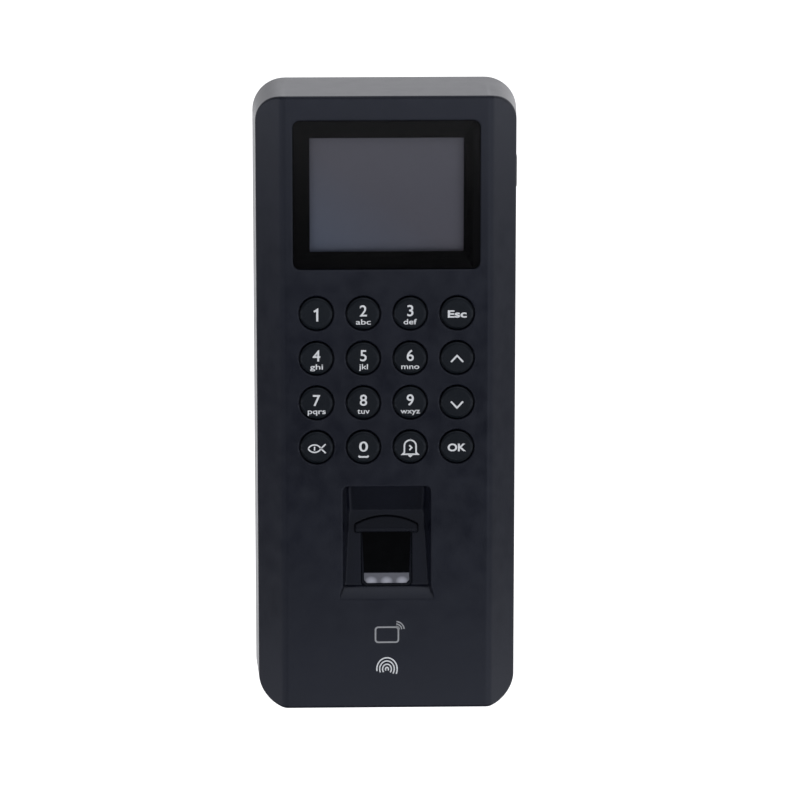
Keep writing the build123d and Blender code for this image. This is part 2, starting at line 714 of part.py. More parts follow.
SENSOR_BACK = 12.5
SENSOR_SCREWS = [(sx * 13.4, z) for sx in (-1, 1) for z in (-33, -64)]
SENSOR_MIDDLE = (SENSOR_SCREWS[0][1] + SENSOR_SCREWS[1][1]) / 2
SENSOR_WELL = (18, STOP_TOP - FRAME_BOTTOM - 1, 1)
SENSOR_PLATE = (33, 36, 2)
GLASS_MIDDLE = (GLASS_TOP + GLASS_BOTTOM) / 2
LIGHT_MIDDLE = (LIGHT_TOP + LIGHT_BOTTOM) / 2


def slope_span(top, bottom):
    """Half the length, measured down the pocket floor, between two heights."""
    return (top - bottom) / 2 / cos(radians(FLOOR_SLOPE))


def glass_outline(grow):
    """Corners of the optical window on the floor plane, slightly narrower at the bottom."""
    half = slope_span(GLASS_TOP, GLASS_BOTTOM) + grow
    return [
        (-GLASS_HALF_TOP - grow, half),
        (GLASS_HALF_TOP + grow, half),
        (GLASS_HALF_BOTTOM + grow, -half),
        (-GLASS_HALF_BOTTOM - grow, -half),
    ]


def light_outline(grow):
    """Corners of the light bar on the floor plane, with its lower corners cut off."""
    half = slope_span(LIGHT_TOP, LIGHT_BOTTOM) + grow
    cut = 1.0
    return [
        (-LIGHT_HALF - grow, half),
        (LIGHT_HALF + grow, half),
        (LIGHT_HALF + grow, -half + cut),
        (LIGHT_HALF + grow - cut, -half),
        (-LIGHT_HALF - grow + cut, -half),
        (-LIGHT_HALF - grow, -half + cut),
    ]


# arched block with a sloping front that the fingertip comes up against
with BuildPart() as fingertip_stop:
    with BuildSketch(Plane.YZ):
        with BuildLine():
            Polyline(
                (-CASE_FRONT + POCKET_DEPTH + FRAME_THICK, STOP_TOP + 0.4),
                (-CASE_FRONT + STOP_TOP_DEPTH, STOP_TOP + 0.4),
                (-CASE_FRONT + STOP_DEPTH, STOP_EDGE),
                (-CASE_FRONT + STOP_DEPTH, STOP_BOTTOM),
                (-CASE_FRONT + POCKET_DEPTH + FRAME_THICK, STOP_BOTTOM),
                close=True,
            )
        make_face()
    extrude(amount=STOP_HALF, both=True)
    fillet(fingertip_stop.edges().filter_by(Axis.X).sort_by(Axis.Y)[:2], STOP_ROUND)
    with BuildSketch(level(CASE_FRONT - POCKET_DEPTH - FRAME_THICK - 1)):
        add(stop_outline(0))
    extrude(amount=POCKET_DEPTH + FRAME_THICK + 2, mode=Mode.INTERSECT)

with BuildPart() as sensor_bezel:
    # frame around the window and light bar, flush with the pocket floor
    with BuildSketch(level(CASE_FRONT - POCKET_DEPTH - FRAME_THICK)):
        with Locations((0, (STOP_BOTTOM + 1 + FRAME_BOTTOM) / 2)):
            RectangleRounded(2 * FRAME_HALF, STOP_BOTTOM + 1 - FRAME_BOTTOM, 1.5)
        with Locations((0, STOP_BOTTOM - 2)):
            Rectangle(2 * FRAME_HALF, 6)
    extrude(amount=POCKET_DEPTH + FRAME_THICK)
    add(pocket_form(0), mode=Mode.SUBTRACT)
    add(fingertip_stop.part)
    # apertures for the window and the light bar
    with BuildSketch(floor_plane(GLASS_MIDDLE, 1.5)):
        with BuildLine():
            Polyline(*glass_outline(0.06), close=True)
        make_face()
    extrude(amount=-2 * FRAME_THICK - 4, mode=Mode.SUBTRACT)
    with BuildSketch(floor_plane(LIGHT_MIDDLE, 1.5)):
        with BuildLine():
            Polyline(*light_outline(0.06), close=True)
        make_face()
    extrude(amount=-2 * FRAME_THICK - 6, mode=Mode.SUBTRACT)
sensor_bezel.part.label = "sensor_bezel"
export_step(sensor_bezel.part, "parts/sensor_bezel.step")

with BuildPart() as sensor_window:
    with BuildSketch(floor_plane(GLASS_MIDDLE, -0.1)):
        with BuildLine():
            Polyline(*glass_outline(0), close=True)
        make_face()
    extrude(amount=-GLASS_THICK)
sensor_window.part.label = "sensor_window"
export_step(sensor_window.part, "parts/sensor_window.step")

with BuildPart() as led_light_bar:
    with BuildSketch(floor_plane(LIGHT_MIDDLE, -0.05)):
        with BuildLine():
            Polyline(*light_outline(0), close=True)
        make_face()
    extrude(amount=-LIGHT_THICK)
led_light_bar.part.label = "led_light_bar"
export_step(led_light_bar.part, "parts/led_light_bar.step")

with BuildPart() as sensor_prism:
    with BuildSketch(Plane.YZ):
        with BuildLine():
            window_plane = floor_plane(GLASS_MIDDLE, -0.1 - GLASS_THICK - 0.02)
            half_span = slope_span(GLASS_TOP, GLASS_BOTTOM) - 0.4
            upper = window_plane.from_local_coords((0, half_span, 0))
            lower = window_plane.from_local_coords((0, -half_span, 0))
            Polyline((upper.Y, upper.Z), (lower.Y, lower.Z), (upper.Y + 0.5, lower.Z), close=True)
        make_face()
    extrude(amount=GLASS_HALF_BOTTOM - 0.6, both=True)
sensor_prism.part.label = "sensor_prism"
export_step(sensor_prism.part, "parts/sensor_prism.step")

HOUSING_FRONT = CASE_FRONT - POCKET_DEPTH - FRAME_THICK
HOUSING_BACK = SENSOR_BACK + 1.4

with BuildPart() as sensor_housing:
    with BuildSketch(level(HOUSING_BACK)):
        with Locations((0, (STOP_TOP + FRAME_BOTTOM) / 2)):
            RectangleRounded(21, STOP_TOP - FRAME_BOTTOM + 2, 1.5)
            RectangleRounded(*SENSOR_WELL, mode=Mode.SUBTRACT)
    extrude(amount=HOUSING_FRONT - 0.05 - HOUSING_BACK)
    with BuildSketch(level(HOUSING_BACK)):
        with Locations((0, SENSOR_MIDDLE)):
            RectangleRounded(*SENSOR_PLATE)
            RectangleRounded(*SENSOR_WELL, mode=Mode.SUBTRACT)
        with Locations(*SENSOR_SCREWS):
            Circle(1.5, mode=Mode.SUBTRACT)
    extrude(amount=1.6)
sensor_housing.part.label = "sensor_housing"
export_step(sensor_housing.part, "parts/sensor_housing.step")

with BuildPart() as sensor_board:
    with BuildSketch(level(SENSOR_BACK)):
        with Locations((0, SENSOR_MIDDLE)):
            RectangleRounded(*SENSOR_PLATE)
        with Locations(*SENSOR_SCREWS):
            Circle(1.5, mode=Mode.SUBTRACT)
    extrude(amount=1.35)
    with BuildSketch(level(SENSOR_BACK)):
        with Locations((0, SENSOR_MIDDLE + 12)):
            Rectangle(12, 4)
    extrude(amount=-1.8)
sensor_board.part.label = "sensor_board"
export_step(sensor_board.part, "parts/sensor_board.step")

with BuildPart() as sensor_camera:
    with BuildSketch(level(HOUSING_BACK)):
        with Locations((0, -52)):
            Rectangle(7, 7)
    extrude(amount=0.9)
    with BuildSketch(level(HOUSING_BACK + 0.9)):
        with Locations((0, -52)):
            Circle(2.6)
    extrude(amount=1.6)
sensor_camera.part.label = "sensor_camera"
export_step(sensor_camera.part, "parts/sensor_camera.step")

sensor_screws = screw_set(SENSOR_SCREWS, SENSOR_BACK, 2.2, 1.3, 7)
sensor_screws.label = "sensor_screws"
export_step(sensor_screws, "parts/sensor_screws.step")

sensor_flex = ribbon(
    10,
    [
        (SENSOR_BACK - 1.0, SENSOR_MIDDLE + 14.3),
        (SENSOR_BACK - 1.0, SENSOR_MIDDLE + 20),
        (MAIN_FRONT + 4.6, SENSOR_MIDDLE + 24),
        (MAIN_FRONT + 1.2, SENSOR_MIDDLE + 27),
    ],
)
sensor_flex.label = "sensor_flex"
export_step(sensor_flex, "parts/sensor_flex.step")

# ---------------------------------------------------------------- card reader

ANTENNA_FRONT = FRONT_INNER - 1.0

antenna_board = rounded_plate(52, 24, 1.5, ANTENNA_FRONT - 0.8, ANTENNA_FRONT, ANTENNA_Z)
antenna_board.label = "antenna_board"
export_step(antenna_board, "parts/antenna_board.step")

with BuildPart() as antenna_coil:
    with BuildSketch(level(ANTENNA_FRONT)):
        with Locations((0, ANTENNA_Z)):
            for turn in range(4):
                inner = 2 * 1.3 * turn
                RectangleRounded(49 - inner, 21 - inner, 2.4)
                RectangleRounded(48 - inner, 20 - inner, 1.9, mode=Mode.SUBTRACT)
    extrude(amount=0.1)
antenna_coil.part.label = "antenna_coil"
export_step(antenna_coil.part, "parts/antenna_coil.step")

# ---------------------------------------------------------------- main board and its parts

MAIN_MIDDLE = (MAIN_TOP + MAIN_BOTTOM) / 2

with BuildPart() as main_board:
    with BuildSketch(level(MAIN_BACK)):
        with Locations((0, MAIN_MIDDLE)):
            RectangleRounded(MAIN_WIDTH, MAIN_TOP - MAIN_BOTTOM, 2)
        with Locations(*BOARD_SCREWS):
            Circle(1.5, mode=Mode.SUBTRACT)
    extrude(amount=MAIN_THICK)
main_board.part.label = "main_board"
export_step(main_board.part, "parts/main_board.step")

processor = rounded_plate(15, 15, 0.4, MAIN_FRONT, MAIN_FRONT + 1.2, z=64, x=-14)
processor.label = "processor"
export_step(processor, "parts/processor.step")

with BuildPart() as shield_can:
    with BuildSketch(level(MAIN_FRONT)):
        with Locations((-14, 64)):
            RectangleRounded(26, 24, 1)
    extrude(amount=2.6)
    with BuildSketch(level(MAIN_FRONT)):
        with Locations((-14, 64)):
            RectangleRounded(25.5, 23.5, 0.8)
    extrude(amount=2.35, mode=Mode.SUBTRACT)
    with BuildSketch(level(MAIN_FRONT + 2)):
        with Locations((-14, 64)):
            with GridLocations(6, 6, 3, 3):
                Circle(0.8)
    extrude(amount=1, mode=Mode.SUBTRACT)
shield_can.part.label = "shield_can"
export_step(shield_can.part, "parts/shield_can.step")

# chips, coils and sockets soldered on the front of the board: width, height, rise, x, z
FRONT_PARTS = (
    (11, 9, 1.2, 10, 70),
    (9, 9, 4.0, 24, 66),
    (6, 5, 1.6, 10, 56),
    (20, 3.4, 1.1, 6, 49.4),
    (17, 3.4, 1.1, 0, -16.4),
    (11, 3.4, 1.1, 0, -21.6),
    (8, 12, 1.4, 24, 10),
)
CAPACITORS = ((-28, 28), (-28, 18), (27, 26))

with BuildPart() as board_components:
    for width, height, rise, x, z in FRONT_PARTS:
        with BuildSketch(level(MAIN_FRONT)):
            with Locations((x, z)):
                Rectangle(width, height)
        extrude(amount=rise)
    with BuildSketch(level(MAIN_FRONT)):
        with Locations(*CAPACITORS):
            Circle(3.15)
    extrude(amount=7.5)
board_components.part.label = "board_components"
export_step(board_components.part, "parts/board_components.step")

with BuildPart() as relay:
    with BuildSketch(level(MAIN_FRONT)):
        with Locations((-14, 5)):
            Rectangle(15.5, 10.5)
    extrude(amount=10)
    chamfer(relay.faces().sort_by(Axis.Y)[0].edges(), 0.5)
relay.part.label = "relay"
export_step(relay.part, "parts/relay.step")

with BuildPart() as buzzer:
    with BuildSketch(level(MAIN_FRONT)):
        with Locations((14, 33)):
            Circle(6)
    extrude(amount=8.5)
    with BuildSketch(level(MAIN_FRONT + 7)):
        with Locations((14, 33)):
            Circle(1.2)
    extrude(amount=2, mode=Mode.SUBTRACT)
    fillet(buzzer.faces().sort_by(Axis.Y)[0].edges().sort_by(SortBy.LENGTH)[-1], 0.5)
buzzer.part.label = "buzzer"
export_step(buzzer.part, "parts/buzzer.step")

CELL_X = -6
CELL_Z = 30
with BuildPart() as battery_holder:
    with BuildSketch(level(MAIN_FRONT)):
        with Locations((CELL_X, CELL_Z)):
            RectangleRounded(23, 24, 2)
    extrude(amount=4.2)
    with BuildSketch(level(MAIN_FRONT + 0.8)):
        with Locations((CELL_X, CELL_Z)):
            Circle(10.15)
    extrude(amount=5, mode=Mode.SUBTRACT)
    with BuildSketch(level(MAIN_FRONT + 2.4)):
        with Locations((CELL_X, CELL_Z + 12)):
            Rectangle(9, 8)
    extrude(amount=3, mode=Mode.SUBTRACT)
battery_holder.part.label = "battery_holder"
export_step(battery_holder.part, "parts/battery_holder.step")

with BuildPart() as backup_battery:
    with BuildSketch(level(MAIN_FRONT + 0.82)):
        with Locations((CELL_X, CELL_Z)):
            Circle(10)
    extrude(amount=3.2)
    fillet(backup_battery.edges().filter_by(GeomType.CIRCLE), 0.4)
backup_battery.part.label = "backup_battery"
export_step(backup_battery.part, "parts/backup_battery.step")

# low wire headers in the connector bay, on the wall side of the board
HEADER_RISE = 3.9
HEADERS = ((2, -18, BAY_Z + 6), (10, 6, BAY_Z + 6), (8, -6, BAY_Z - 5))
PIN_PITCH = 2.5

with BuildPart() as wire_headers:
    for pins, x, z in HEADERS:
        with BuildSketch(level(MAIN_BACK)):
            with Locations((x, z)):
                Rectangle(pins * PIN_PITCH + 2.4, 5.6)
        extrude(amount=-HEADER_RISE)
        with BuildSketch(level(MAIN_BACK - 0.8)):
            with Locations((x, z)):
                Rectangle(pins * PIN_PITCH + 1.4, 4.4)
        extrude(amount=-HEADER_RISE, mode=Mode.SUBTRACT)
        with BuildSketch(level(MAIN_BACK - 0.8)):
            with Locations((x, z)):
                with GridLocations(PIN_PITCH, 1, pins, 1):
                    Rectangle(0.64, 0.64)
        extrude(amount=-HEADER_RISE + 1.2)
wire_headers.part.label = "wire_headers"
export_step(wire_headers.part, "parts/wire_headers.step")

# tamper switch: its plunger reaches through the rear cover to the bracket
SWITCH_BACK = 5.2
PLUNGER_RADIUS = 1.2
with BuildPart() as tamper_switch:
    with BuildSketch(level(SWITCH_BACK)):
        with Locations((TAMPER_X, TAMPER_Z)):
            RectangleRounded(6, 6, 0.5)
            Circle(PLUNGER_RADIUS + 0.06, mode=Mode.SUBTRACT)
    extrude(amount=MAIN_BACK - SWITCH_BACK)
tamper_switch.part.label = "tamper_switch"
export_step(tamper_switch.part, "parts/tamper_switch.step")

with BuildPart() as tamper_plunger:
    with BuildSketch(level(BRACKET_THICK + 0.25)):
        with Locations((TAMPER_X, TAMPER_Z)):
            Circle(PLUNGER_RADIUS)
    extrude(amount=6.6 - BRACKET_THICK - 0.25)
    fillet(tamper_plunger.faces().sort_by(Axis.Y)[-1].edges(), 0.7)
tamper_plunger.part.label = "tamper_plunger"
export_step(tamper_plunger.part, "parts/tamper_plunger.step")

# socket behind the side port
SOCKET_REACH = half_width(PORT_LEVEL) - WALL - 0.15
with BuildPart() as usb_port:
    with BuildSketch(Plane.YZ.offset(SOCKET_REACH - 5.6)):
        with Locations((-PORT_LEVEL, PORT_Z)):
            RectangleRounded(2.9, 7.6, 0.6)
    extrude(amount=5.6)
    with BuildSketch(Plane.YZ.offset(SOCKET_REACH - 4.8)):
        with Locations((-PORT_LEVEL, PORT_Z)):
            RectangleRounded(2.2, 6.9, 0.5)
    extrude(amount=6, mode=Mode.SUBTRACT)
    with BuildSketch(Plane.YZ.offset(SOCKET_REACH - 5)):
        with Locations((-PORT_LEVEL - 0.3, PORT_Z)):
            Rectangle(0.7, 4.0)
    extrude(amount=3.6)
usb_port.part.label = "usb_port"
export_step(usb_port.part, "parts/usb_port.step")

# rubber cover of the side port, hung from a strap at its top edge
FLAP_FACE = half_width(PORT_LEVEL)
with BuildPart() as side_port_cover:
    with BuildSketch(Plane.YZ.offset(FLAP_FACE - FLAP_DEPTH + 0.08)):
        with Locations((-PORT_LEVEL, PORT_Z)):
            RectangleRounded(FLAP_WIDTH, FLAP_LENGTH, 1.1)
    extrude(amount=FLAP_DEPTH - 0.08 + FLAP_PROUD)
    fillet(side_port_cover.faces().sort_by(Axis.X)[-1].edges(), 0.3)
    with BuildSketch(Plane.YZ.offset(FLAP_FACE - FLAP_DEPTH - 0.9)):
        with Locations((-PORT_LEVEL, PORT_Z)):
            RectangleRounded(2.0, 6.0, 0.5)
    extrude(amount=1.1)
side_port_cover.part.label = "side_port_cover"
export_step(side_port_cover.part, "parts/side_port_cover.step")

board_screws = screw_set(BOARD_SCREWS, MAIN_BACK, 2.4, 1.4, 8)
board_screws.label = "board_screws"
export_step(board_screws, "parts/board_screws.step")
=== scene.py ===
"""Looks of a wall-mounted fingerprint, card and keypad terminal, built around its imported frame."""

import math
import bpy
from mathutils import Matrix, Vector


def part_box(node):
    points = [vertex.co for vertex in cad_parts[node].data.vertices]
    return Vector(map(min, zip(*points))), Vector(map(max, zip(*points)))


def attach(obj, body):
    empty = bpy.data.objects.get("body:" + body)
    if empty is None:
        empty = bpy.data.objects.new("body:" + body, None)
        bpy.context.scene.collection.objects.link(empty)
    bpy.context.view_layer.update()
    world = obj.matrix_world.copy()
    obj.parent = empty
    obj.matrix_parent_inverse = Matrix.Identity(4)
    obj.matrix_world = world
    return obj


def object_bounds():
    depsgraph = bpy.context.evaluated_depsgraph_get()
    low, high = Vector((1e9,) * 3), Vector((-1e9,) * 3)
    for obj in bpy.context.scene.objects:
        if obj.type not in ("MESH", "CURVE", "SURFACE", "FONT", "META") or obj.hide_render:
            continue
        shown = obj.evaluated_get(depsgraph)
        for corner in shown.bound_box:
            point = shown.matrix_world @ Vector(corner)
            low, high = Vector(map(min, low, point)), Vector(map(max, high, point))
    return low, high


bl_info = {
    "name": "Fingerprint terminal finish",
    "version": (1, 0, 0),
    "blender": (4, 5, 0),
    "location": "3D View > Sidebar > Terminal",
    "description": "Materials, printed marks and studio for a fingerprint and keypad terminal",
    "category": "Object",
}

import bpy
from bpy.props import FloatProperty, FloatVectorProperty, PointerProperty
from mathutils import Matrix, Vector

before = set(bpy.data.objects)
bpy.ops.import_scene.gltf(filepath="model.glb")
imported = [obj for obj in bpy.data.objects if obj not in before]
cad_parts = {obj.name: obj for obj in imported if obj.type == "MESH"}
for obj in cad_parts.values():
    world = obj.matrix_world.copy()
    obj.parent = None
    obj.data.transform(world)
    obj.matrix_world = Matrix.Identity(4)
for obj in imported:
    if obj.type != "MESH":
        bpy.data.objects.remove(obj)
cad_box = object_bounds()

MM = 0.001
PRINT_FILM = 0.03 * MM  # thickness of a printed mark
PRINT_SINK = 0.01 * MM  # how deep it starts below the surface it is printed on
CARD_MARK_Z = -76.7 * MM
EMBLEM_Z = -88.4 * MM
CAPITAL_SHARE = 0.77  # capital height of the lettering as a share of its size
KEY_ROWS = (
    ("1", "2", "3", "esc"),
    ("4", "5", "6", "up"),
    ("7", "8", "9", "down"),
    ("clear", "0", "bell", "ok"),
)
KEY_NAMES = [name for row in KEY_ROWS for name in row]
SHEEN_TINT = (0.80, 0.86, 1.0)
# Letters under each digit, with the width they are set to in millimetres
KEY_LETTERS = {
    "2": ("abc", 4.8), "3": ("def", 4.3), "4": ("ghi", 4.2), "5": ("jkl", 2.9),
    "6": ("mno", 5.8), "7": ("pqrs", 5.8), "8": ("tuv", 4.0), "9": ("wxyz", 6.3),
}


# ---------------------------------------------------------------- settings


def colour_property(name, description, default):
    """A linear colour that the sidebar shows as a swatch."""
    return FloatVectorProperty(
        name=name, description=description, default=default, subtype="COLOR", size=3, min=0, max=1
    )


def length_property(name, description, default):
    """A length in metres."""
    return FloatProperty(
        name=name, description=description, default=default, min=0, subtype="DISTANCE", unit="LENGTH"
    )


class CaseFinish(bpy.types.PropertyGroup):
    """Colours and grain of the moulded case."""

    plastic: colour_property(
        "Case plastic", "Base colour of the front shell", (0.0036, 0.0043, 0.0086)
    )
    cover: colour_property("Cover plastic", "Base colour of the rear cover", (0.012, 0.013, 0.016))
    grain: length_property("Moulding grain", "Size of the fine texture on the plastic", 0.00022)


class DisplayFinish(bpy.types.PropertyGroup):
    """Colours of the display."""

    panel: colour_property("Panel", "Colour of the unlit display", (0.160, 0.160, 0.200))
    # Painted reflection: the cooler tint at the display's lower corner stands in for a reflection.
    panel_reflection_tint: colour_property(
        "Panel corner", "Cooler tint at the display's lower corner", (0.155, 0.182, 0.255)
    )
    border: colour_property("Printed border", "Ink behind the cover glass", (0.0012, 0.0013, 0.0016))


class KeypadFinish(bpy.types.PropertyGroup):
    """Colours and lettering of the keys."""

    cap: colour_property("Keycap", "Base colour of the keycaps", (0.0026, 0.0040, 0.0058))
    ink: colour_property("Legend ink", "White ink of the legends", (0.62, 0.64, 0.67))
    digit_height: length_property("Digit height", "Height of a key's digit", 0.0040)
    letter_height: length_property("Letter height", "Height of the small letters' capitals", 0.0019)
    stroke: length_property("Stroke", "Line width of the drawn legends", 0.00055)
    weight: length_property("Weight", "How far the digits' outlines are thickened", 0.00005)


class SensorFinish(bpy.types.PropertyGroup):
    """Colours of the finger pocket's window and light bar."""

    window: colour_property("Window", "Dark optical window", (0.0008, 0.0010, 0.0013))
    diffuser: colour_property("Light bar", "Frosted light bar", (0.11, 0.115, 0.14))
    spots: colour_property("Emitters", "Brighter spots over the emitters", (0.36, 0.37, 0.43))


class StudioSettings(bpy.types.PropertyGroup):
    """Studio around the terminal."""

    distance: length_property("Camera distance", "From the terminal's face to the camera", 1.433)
    rise: length_property("Camera rise", "Height of the camera above the middle", 0.334)
    floor_drop: length_property("Floor drop", "Floor below the hanging terminal", 0.45)


# ---------------------------------------------------------------- node helpers


class Nodes:
    """Short calls to lay out one material's nodes."""

    def __init__(self, name):
        self.material = bpy.data.materials.new(name)
        self.material.use_nodes = True
        self.tree = self.material.node_tree
        self.shader = self.tree.nodes["Principled BSDF"]
        self.coords = self.add("ShaderNodeTexCoord").outputs["Object"]

    def add(self, kind, **values):
        node = self.tree.nodes.new(kind)
        for key, value in values.items():
            setattr(node, key, value)
        return node

    def link(self, output, socket):
        self.tree.links.new(output, socket)

    def set(self, socket_name, value):
        """Sets one of the shader's own sockets."""
        self.shader.inputs[socket_name].default_value = value

    def noise(self, size, detail=3.0):
        """Noise whose features are about this many metres across."""
        texture = self.add("ShaderNodeTexNoise")
        texture.inputs["Scale"].default_value = 1 / size
        texture.inputs["Detail"].default_value = detail
        texture.inputs["Roughness"].default_value = 0.55
        self.link(self.coords, texture.inputs["Vector"])
        return texture.outputs["Fac"]

    def cells(self, size):
        """Voronoi texture with cells about this many metres across."""
        texture = self.add("ShaderNodeTexVoronoi", feature="F1")
        texture.inputs["Scale"].default_value = 1 / size
        self.link(self.coords, texture.inputs["Vector"])
        return texture

    def spread(self, factor, low, high, low_in=0.3, high_in=0.7):
        """Maps a factor onto a range of values."""
        ranger = self.add("ShaderNodeMapRange")
        self.link(factor, ranger.inputs["Value"])
        for socket, value in zip(("From Min", "From Max", "To Min", "To Max"), (low_in, high_in, low, high)):
            ranger.inputs[socket].default_value = value
        return ranger.outputs["Result"]

    def blend(self, factor, first, second):
        """Mixes two colours or colour outputs."""
        mixer = self.add("ShaderNodeMix", data_type="RGBA")
        self.link(factor, mixer.inputs["Factor"])
        for socket, value in ((mixer.inputs[6], first), (mixer.inputs[7], second)):
            if isinstance(value, bpy.types.NodeSocket):
                self.link(value, socket)
            else:
                socket.default_value = (*value, 1)
        return mixer.outputs[2]

    def maths(self, operation, first, second=0.0):
        """One maths node; each operand is a number or an output."""
        node = self.add("ShaderNodeMath", operation=operation)
        for socket, value in zip(node.inputs, (first, second)):
            if isinstance(value, bpy.types.NodeSocket):
                self.link(value, socket)
            else:
                socket.default_value = value
        return node.outputs[0]

    def bump(self, height, depth, rounding=0.0):
        """Raises the surface by depth metres, over edges softened by rounding metres."""
        node = self.add("ShaderNodeBump")
        node.inputs["Strength"].default_value = 1.0
        node.inputs["Distance"].default_value = depth
        self.link(height, node.inputs["Height"])
        if rounding:
            bevel = self.add("ShaderNodeBevel", samples=4)
            bevel.inputs["Radius"].default_value = rounding
            self.link(bevel.outputs["Normal"], node.inputs["Normal"])
        self.link(node.outputs["Normal"], self.shader.inputs["Normal"])


def lighter(colour, factor):
    """The colour scaled by a factor, kept below white."""
    return tuple(min(1.0, channel * factor) for channel in colour)


def moulded_plastic(name, colour, grain, depth, roughness, rounding=0.00015, specular=0.5,
                    tint=(1, 1, 1)):
    """Spark-textured moulded plastic with slight mottling and uneven sheen."""
    nodes = Nodes(name)
    mottle = nodes.noise(0.018, detail=4)
    nodes.link(nodes.blend(nodes.spread(mottle, 0, 1), lighter(colour, 0.9), lighter(colour, 1.12)),
               nodes.shader.inputs["Base Color"])
    sheen_patches = nodes.noise(0.006, detail=5)
    nodes.link(nodes.spread(sheen_patches, roughness - 0.03, roughness + 0.03),
               nodes.shader.inputs["Roughness"])
    pits = nodes.cells(grain * 2.2).outputs["Distance"]
    texture = nodes.maths("ADD", nodes.maths("MULTIPLY", nodes.noise(grain), 0.6),
                          nodes.maths("MULTIPLY", pits, 0.4))
    nodes.bump(texture, depth, rounding)
    nodes.set("Specular IOR Level", specular)
    nodes.set("Specular Tint", (*tint, 1))
    return nodes.material


def printed_ink(name, colour):
    """Pad-printed ink with a slightly uneven film."""
    nodes = Nodes(name)
    film = nodes.noise(0.0004, detail=4)
    nodes.link(nodes.blend(nodes.spread(film, 0, 1), lighter(colour, 0.93), lighter(colour, 1.05)),
               nodes.shader.inputs["Base Color"])
    nodes.link(nodes.spread(nodes.noise(0.0009), 0.39, 0.51),
               nodes.shader.inputs["Roughness"])
    nodes.bump(film, 0.000006)
    return nodes.material


def brushed_metal(name, colour, roughness, direction=(1, 1, 0.03)):
    """Rolled or brushed metal, its fine lines drawn out along one direction."""
    nodes = Nodes(name)
    mapping = nodes.add("ShaderNodeMapping")
    mapping.inputs["Scale"].default_value = direction
    nodes.link(nodes.coords, mapping.inputs["Vector"])
    lines = nodes.add("ShaderNodeTexNoise")
    lines.inputs["Scale"].default_value = 1 / 0.00035
    lines.inputs["Detail"].default_value = 4
    nodes.link(mapping.outputs["Vector"], lines.inputs["Vector"])
    clouds = nodes.noise(0.009, detail=5)
    nodes.link(nodes.blend(nodes.spread(clouds, 0, 1), lighter(colour, 0.82), lighter(colour, 1.1)),
               nodes.shader.inputs["Base Color"])
    nodes.link(nodes.spread(lines.outputs["Fac"], roughness - 0.07, roughness + 0.1),
               nodes.shader.inputs["Roughness"])
    nodes.bump(lines.outputs["Fac"], 0.00001, 0.00012)
    nodes.set("Metallic", 1.0)
    return nodes.material


def zinc_plate(name, colour):
    """Zinc-plated sheet with soft spangles and scuffs."""
    nodes = Nodes(name)
    spangle = nodes.cells(0.0022).outputs["Color"]
    grey = nodes.add("ShaderNodeRGBToBW")
    nodes.link(spangle, grey.inputs["Color"])
    nodes.link(nodes.blend(grey.outputs["Val"], lighter(colour, 0.9), lighter(colour, 1.06)),
               nodes.shader.inputs["Base Color"])
    scuffs = nodes.noise(0.0012, detail=6)
    nodes.link(nodes.spread(scuffs, 0.26, 0.44), nodes.shader.inputs["Roughness"])
    nodes.bump(scuffs, 0.00001, 0.0002)
    nodes.set("Metallic", 1.0)
    return nodes.material


def rubber(name, colour):
    """Matt moulded rubber with fine pores."""
    nodes = Nodes(name)
    pores = nodes.noise(0.00012, detail=3)
    patches = nodes.spread(nodes.noise(0.004), 0, 1)
    nodes.link(nodes.blend(patches, lighter(colour, 0.85), lighter(colour, 1.2)),
               nodes.shader.inputs["Base Color"])
    nodes.link(nodes.spread(pores, 0.62, 0.82), nodes.shader.inputs["Roughness"])
    nodes.bump(pores, 0.000015, 0.0002)
    nodes.set("Specular IOR Level", 0.35)
    return nodes.material


def solder_mask(name, colour):
    """Circuit board: green mask over copper tracks, with the glass weave just showing."""
    nodes = Nodes(name)
    tracks = nodes.add("ShaderNodeTexBrick", offset=0.5)
    tracks.inputs["Scale"].default_value = 420
    tracks.inputs["Mortar Size"].default_value = 0.12
    turned = nodes.add("ShaderNodeMapping")
    turned.inputs["Rotation"].default_value = (math.radians(90), 0, 0)
    nodes.link(nodes.coords, turned.inputs["Vector"])
    nodes.link(turned.outputs["Vector"], tracks.inputs["Vector"])
    area = nodes.blend(nodes.spread(nodes.noise(0.008), 0, 1), colour, lighter(colour, 1.5))
    nodes.link(nodes.blend(tracks.outputs["Fac"], area, lighter(colour, 2.2)),
               nodes.shader.inputs["Base Color"])
    nodes.link(nodes.spread(nodes.noise(0.0006), 0.25, 0.38), nodes.shader.inputs["Roughness"])
    nodes.bump(tracks.outputs["Fac"], 0.00002)
    return nodes.material


def finish_nodes(material, *node_names):
    """Gives CAD nodes their material."""
    for node_name in node_names:
        node_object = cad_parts[node_name]
        node_object.data.materials.clear()
        node_object.data.materials.append(material)


# ---------------------------------------------------------------- mesh helpers


def front_matrix(x, level, z):
    """Stands a drawing made in the XY plane up in front of the wall, facing the viewer."""
    return Matrix.Translation((x, -level, z)) @ Matrix.Rotation(math.radians(90), 4, "X")


def mesh_of(source):
    """The evaluated mesh of a temporary curve or text object, which is then removed."""
    bpy.context.collection.objects.link(source)
    depsgraph = bpy.context.evaluated_depsgraph_get()
    mesh = bpy.data.meshes.new_from_object(source.evaluated_get(depsgraph))
    data = source.data
    bpy.data.objects.remove(source)
    bpy.data.curves.remove(data)
    return mesh


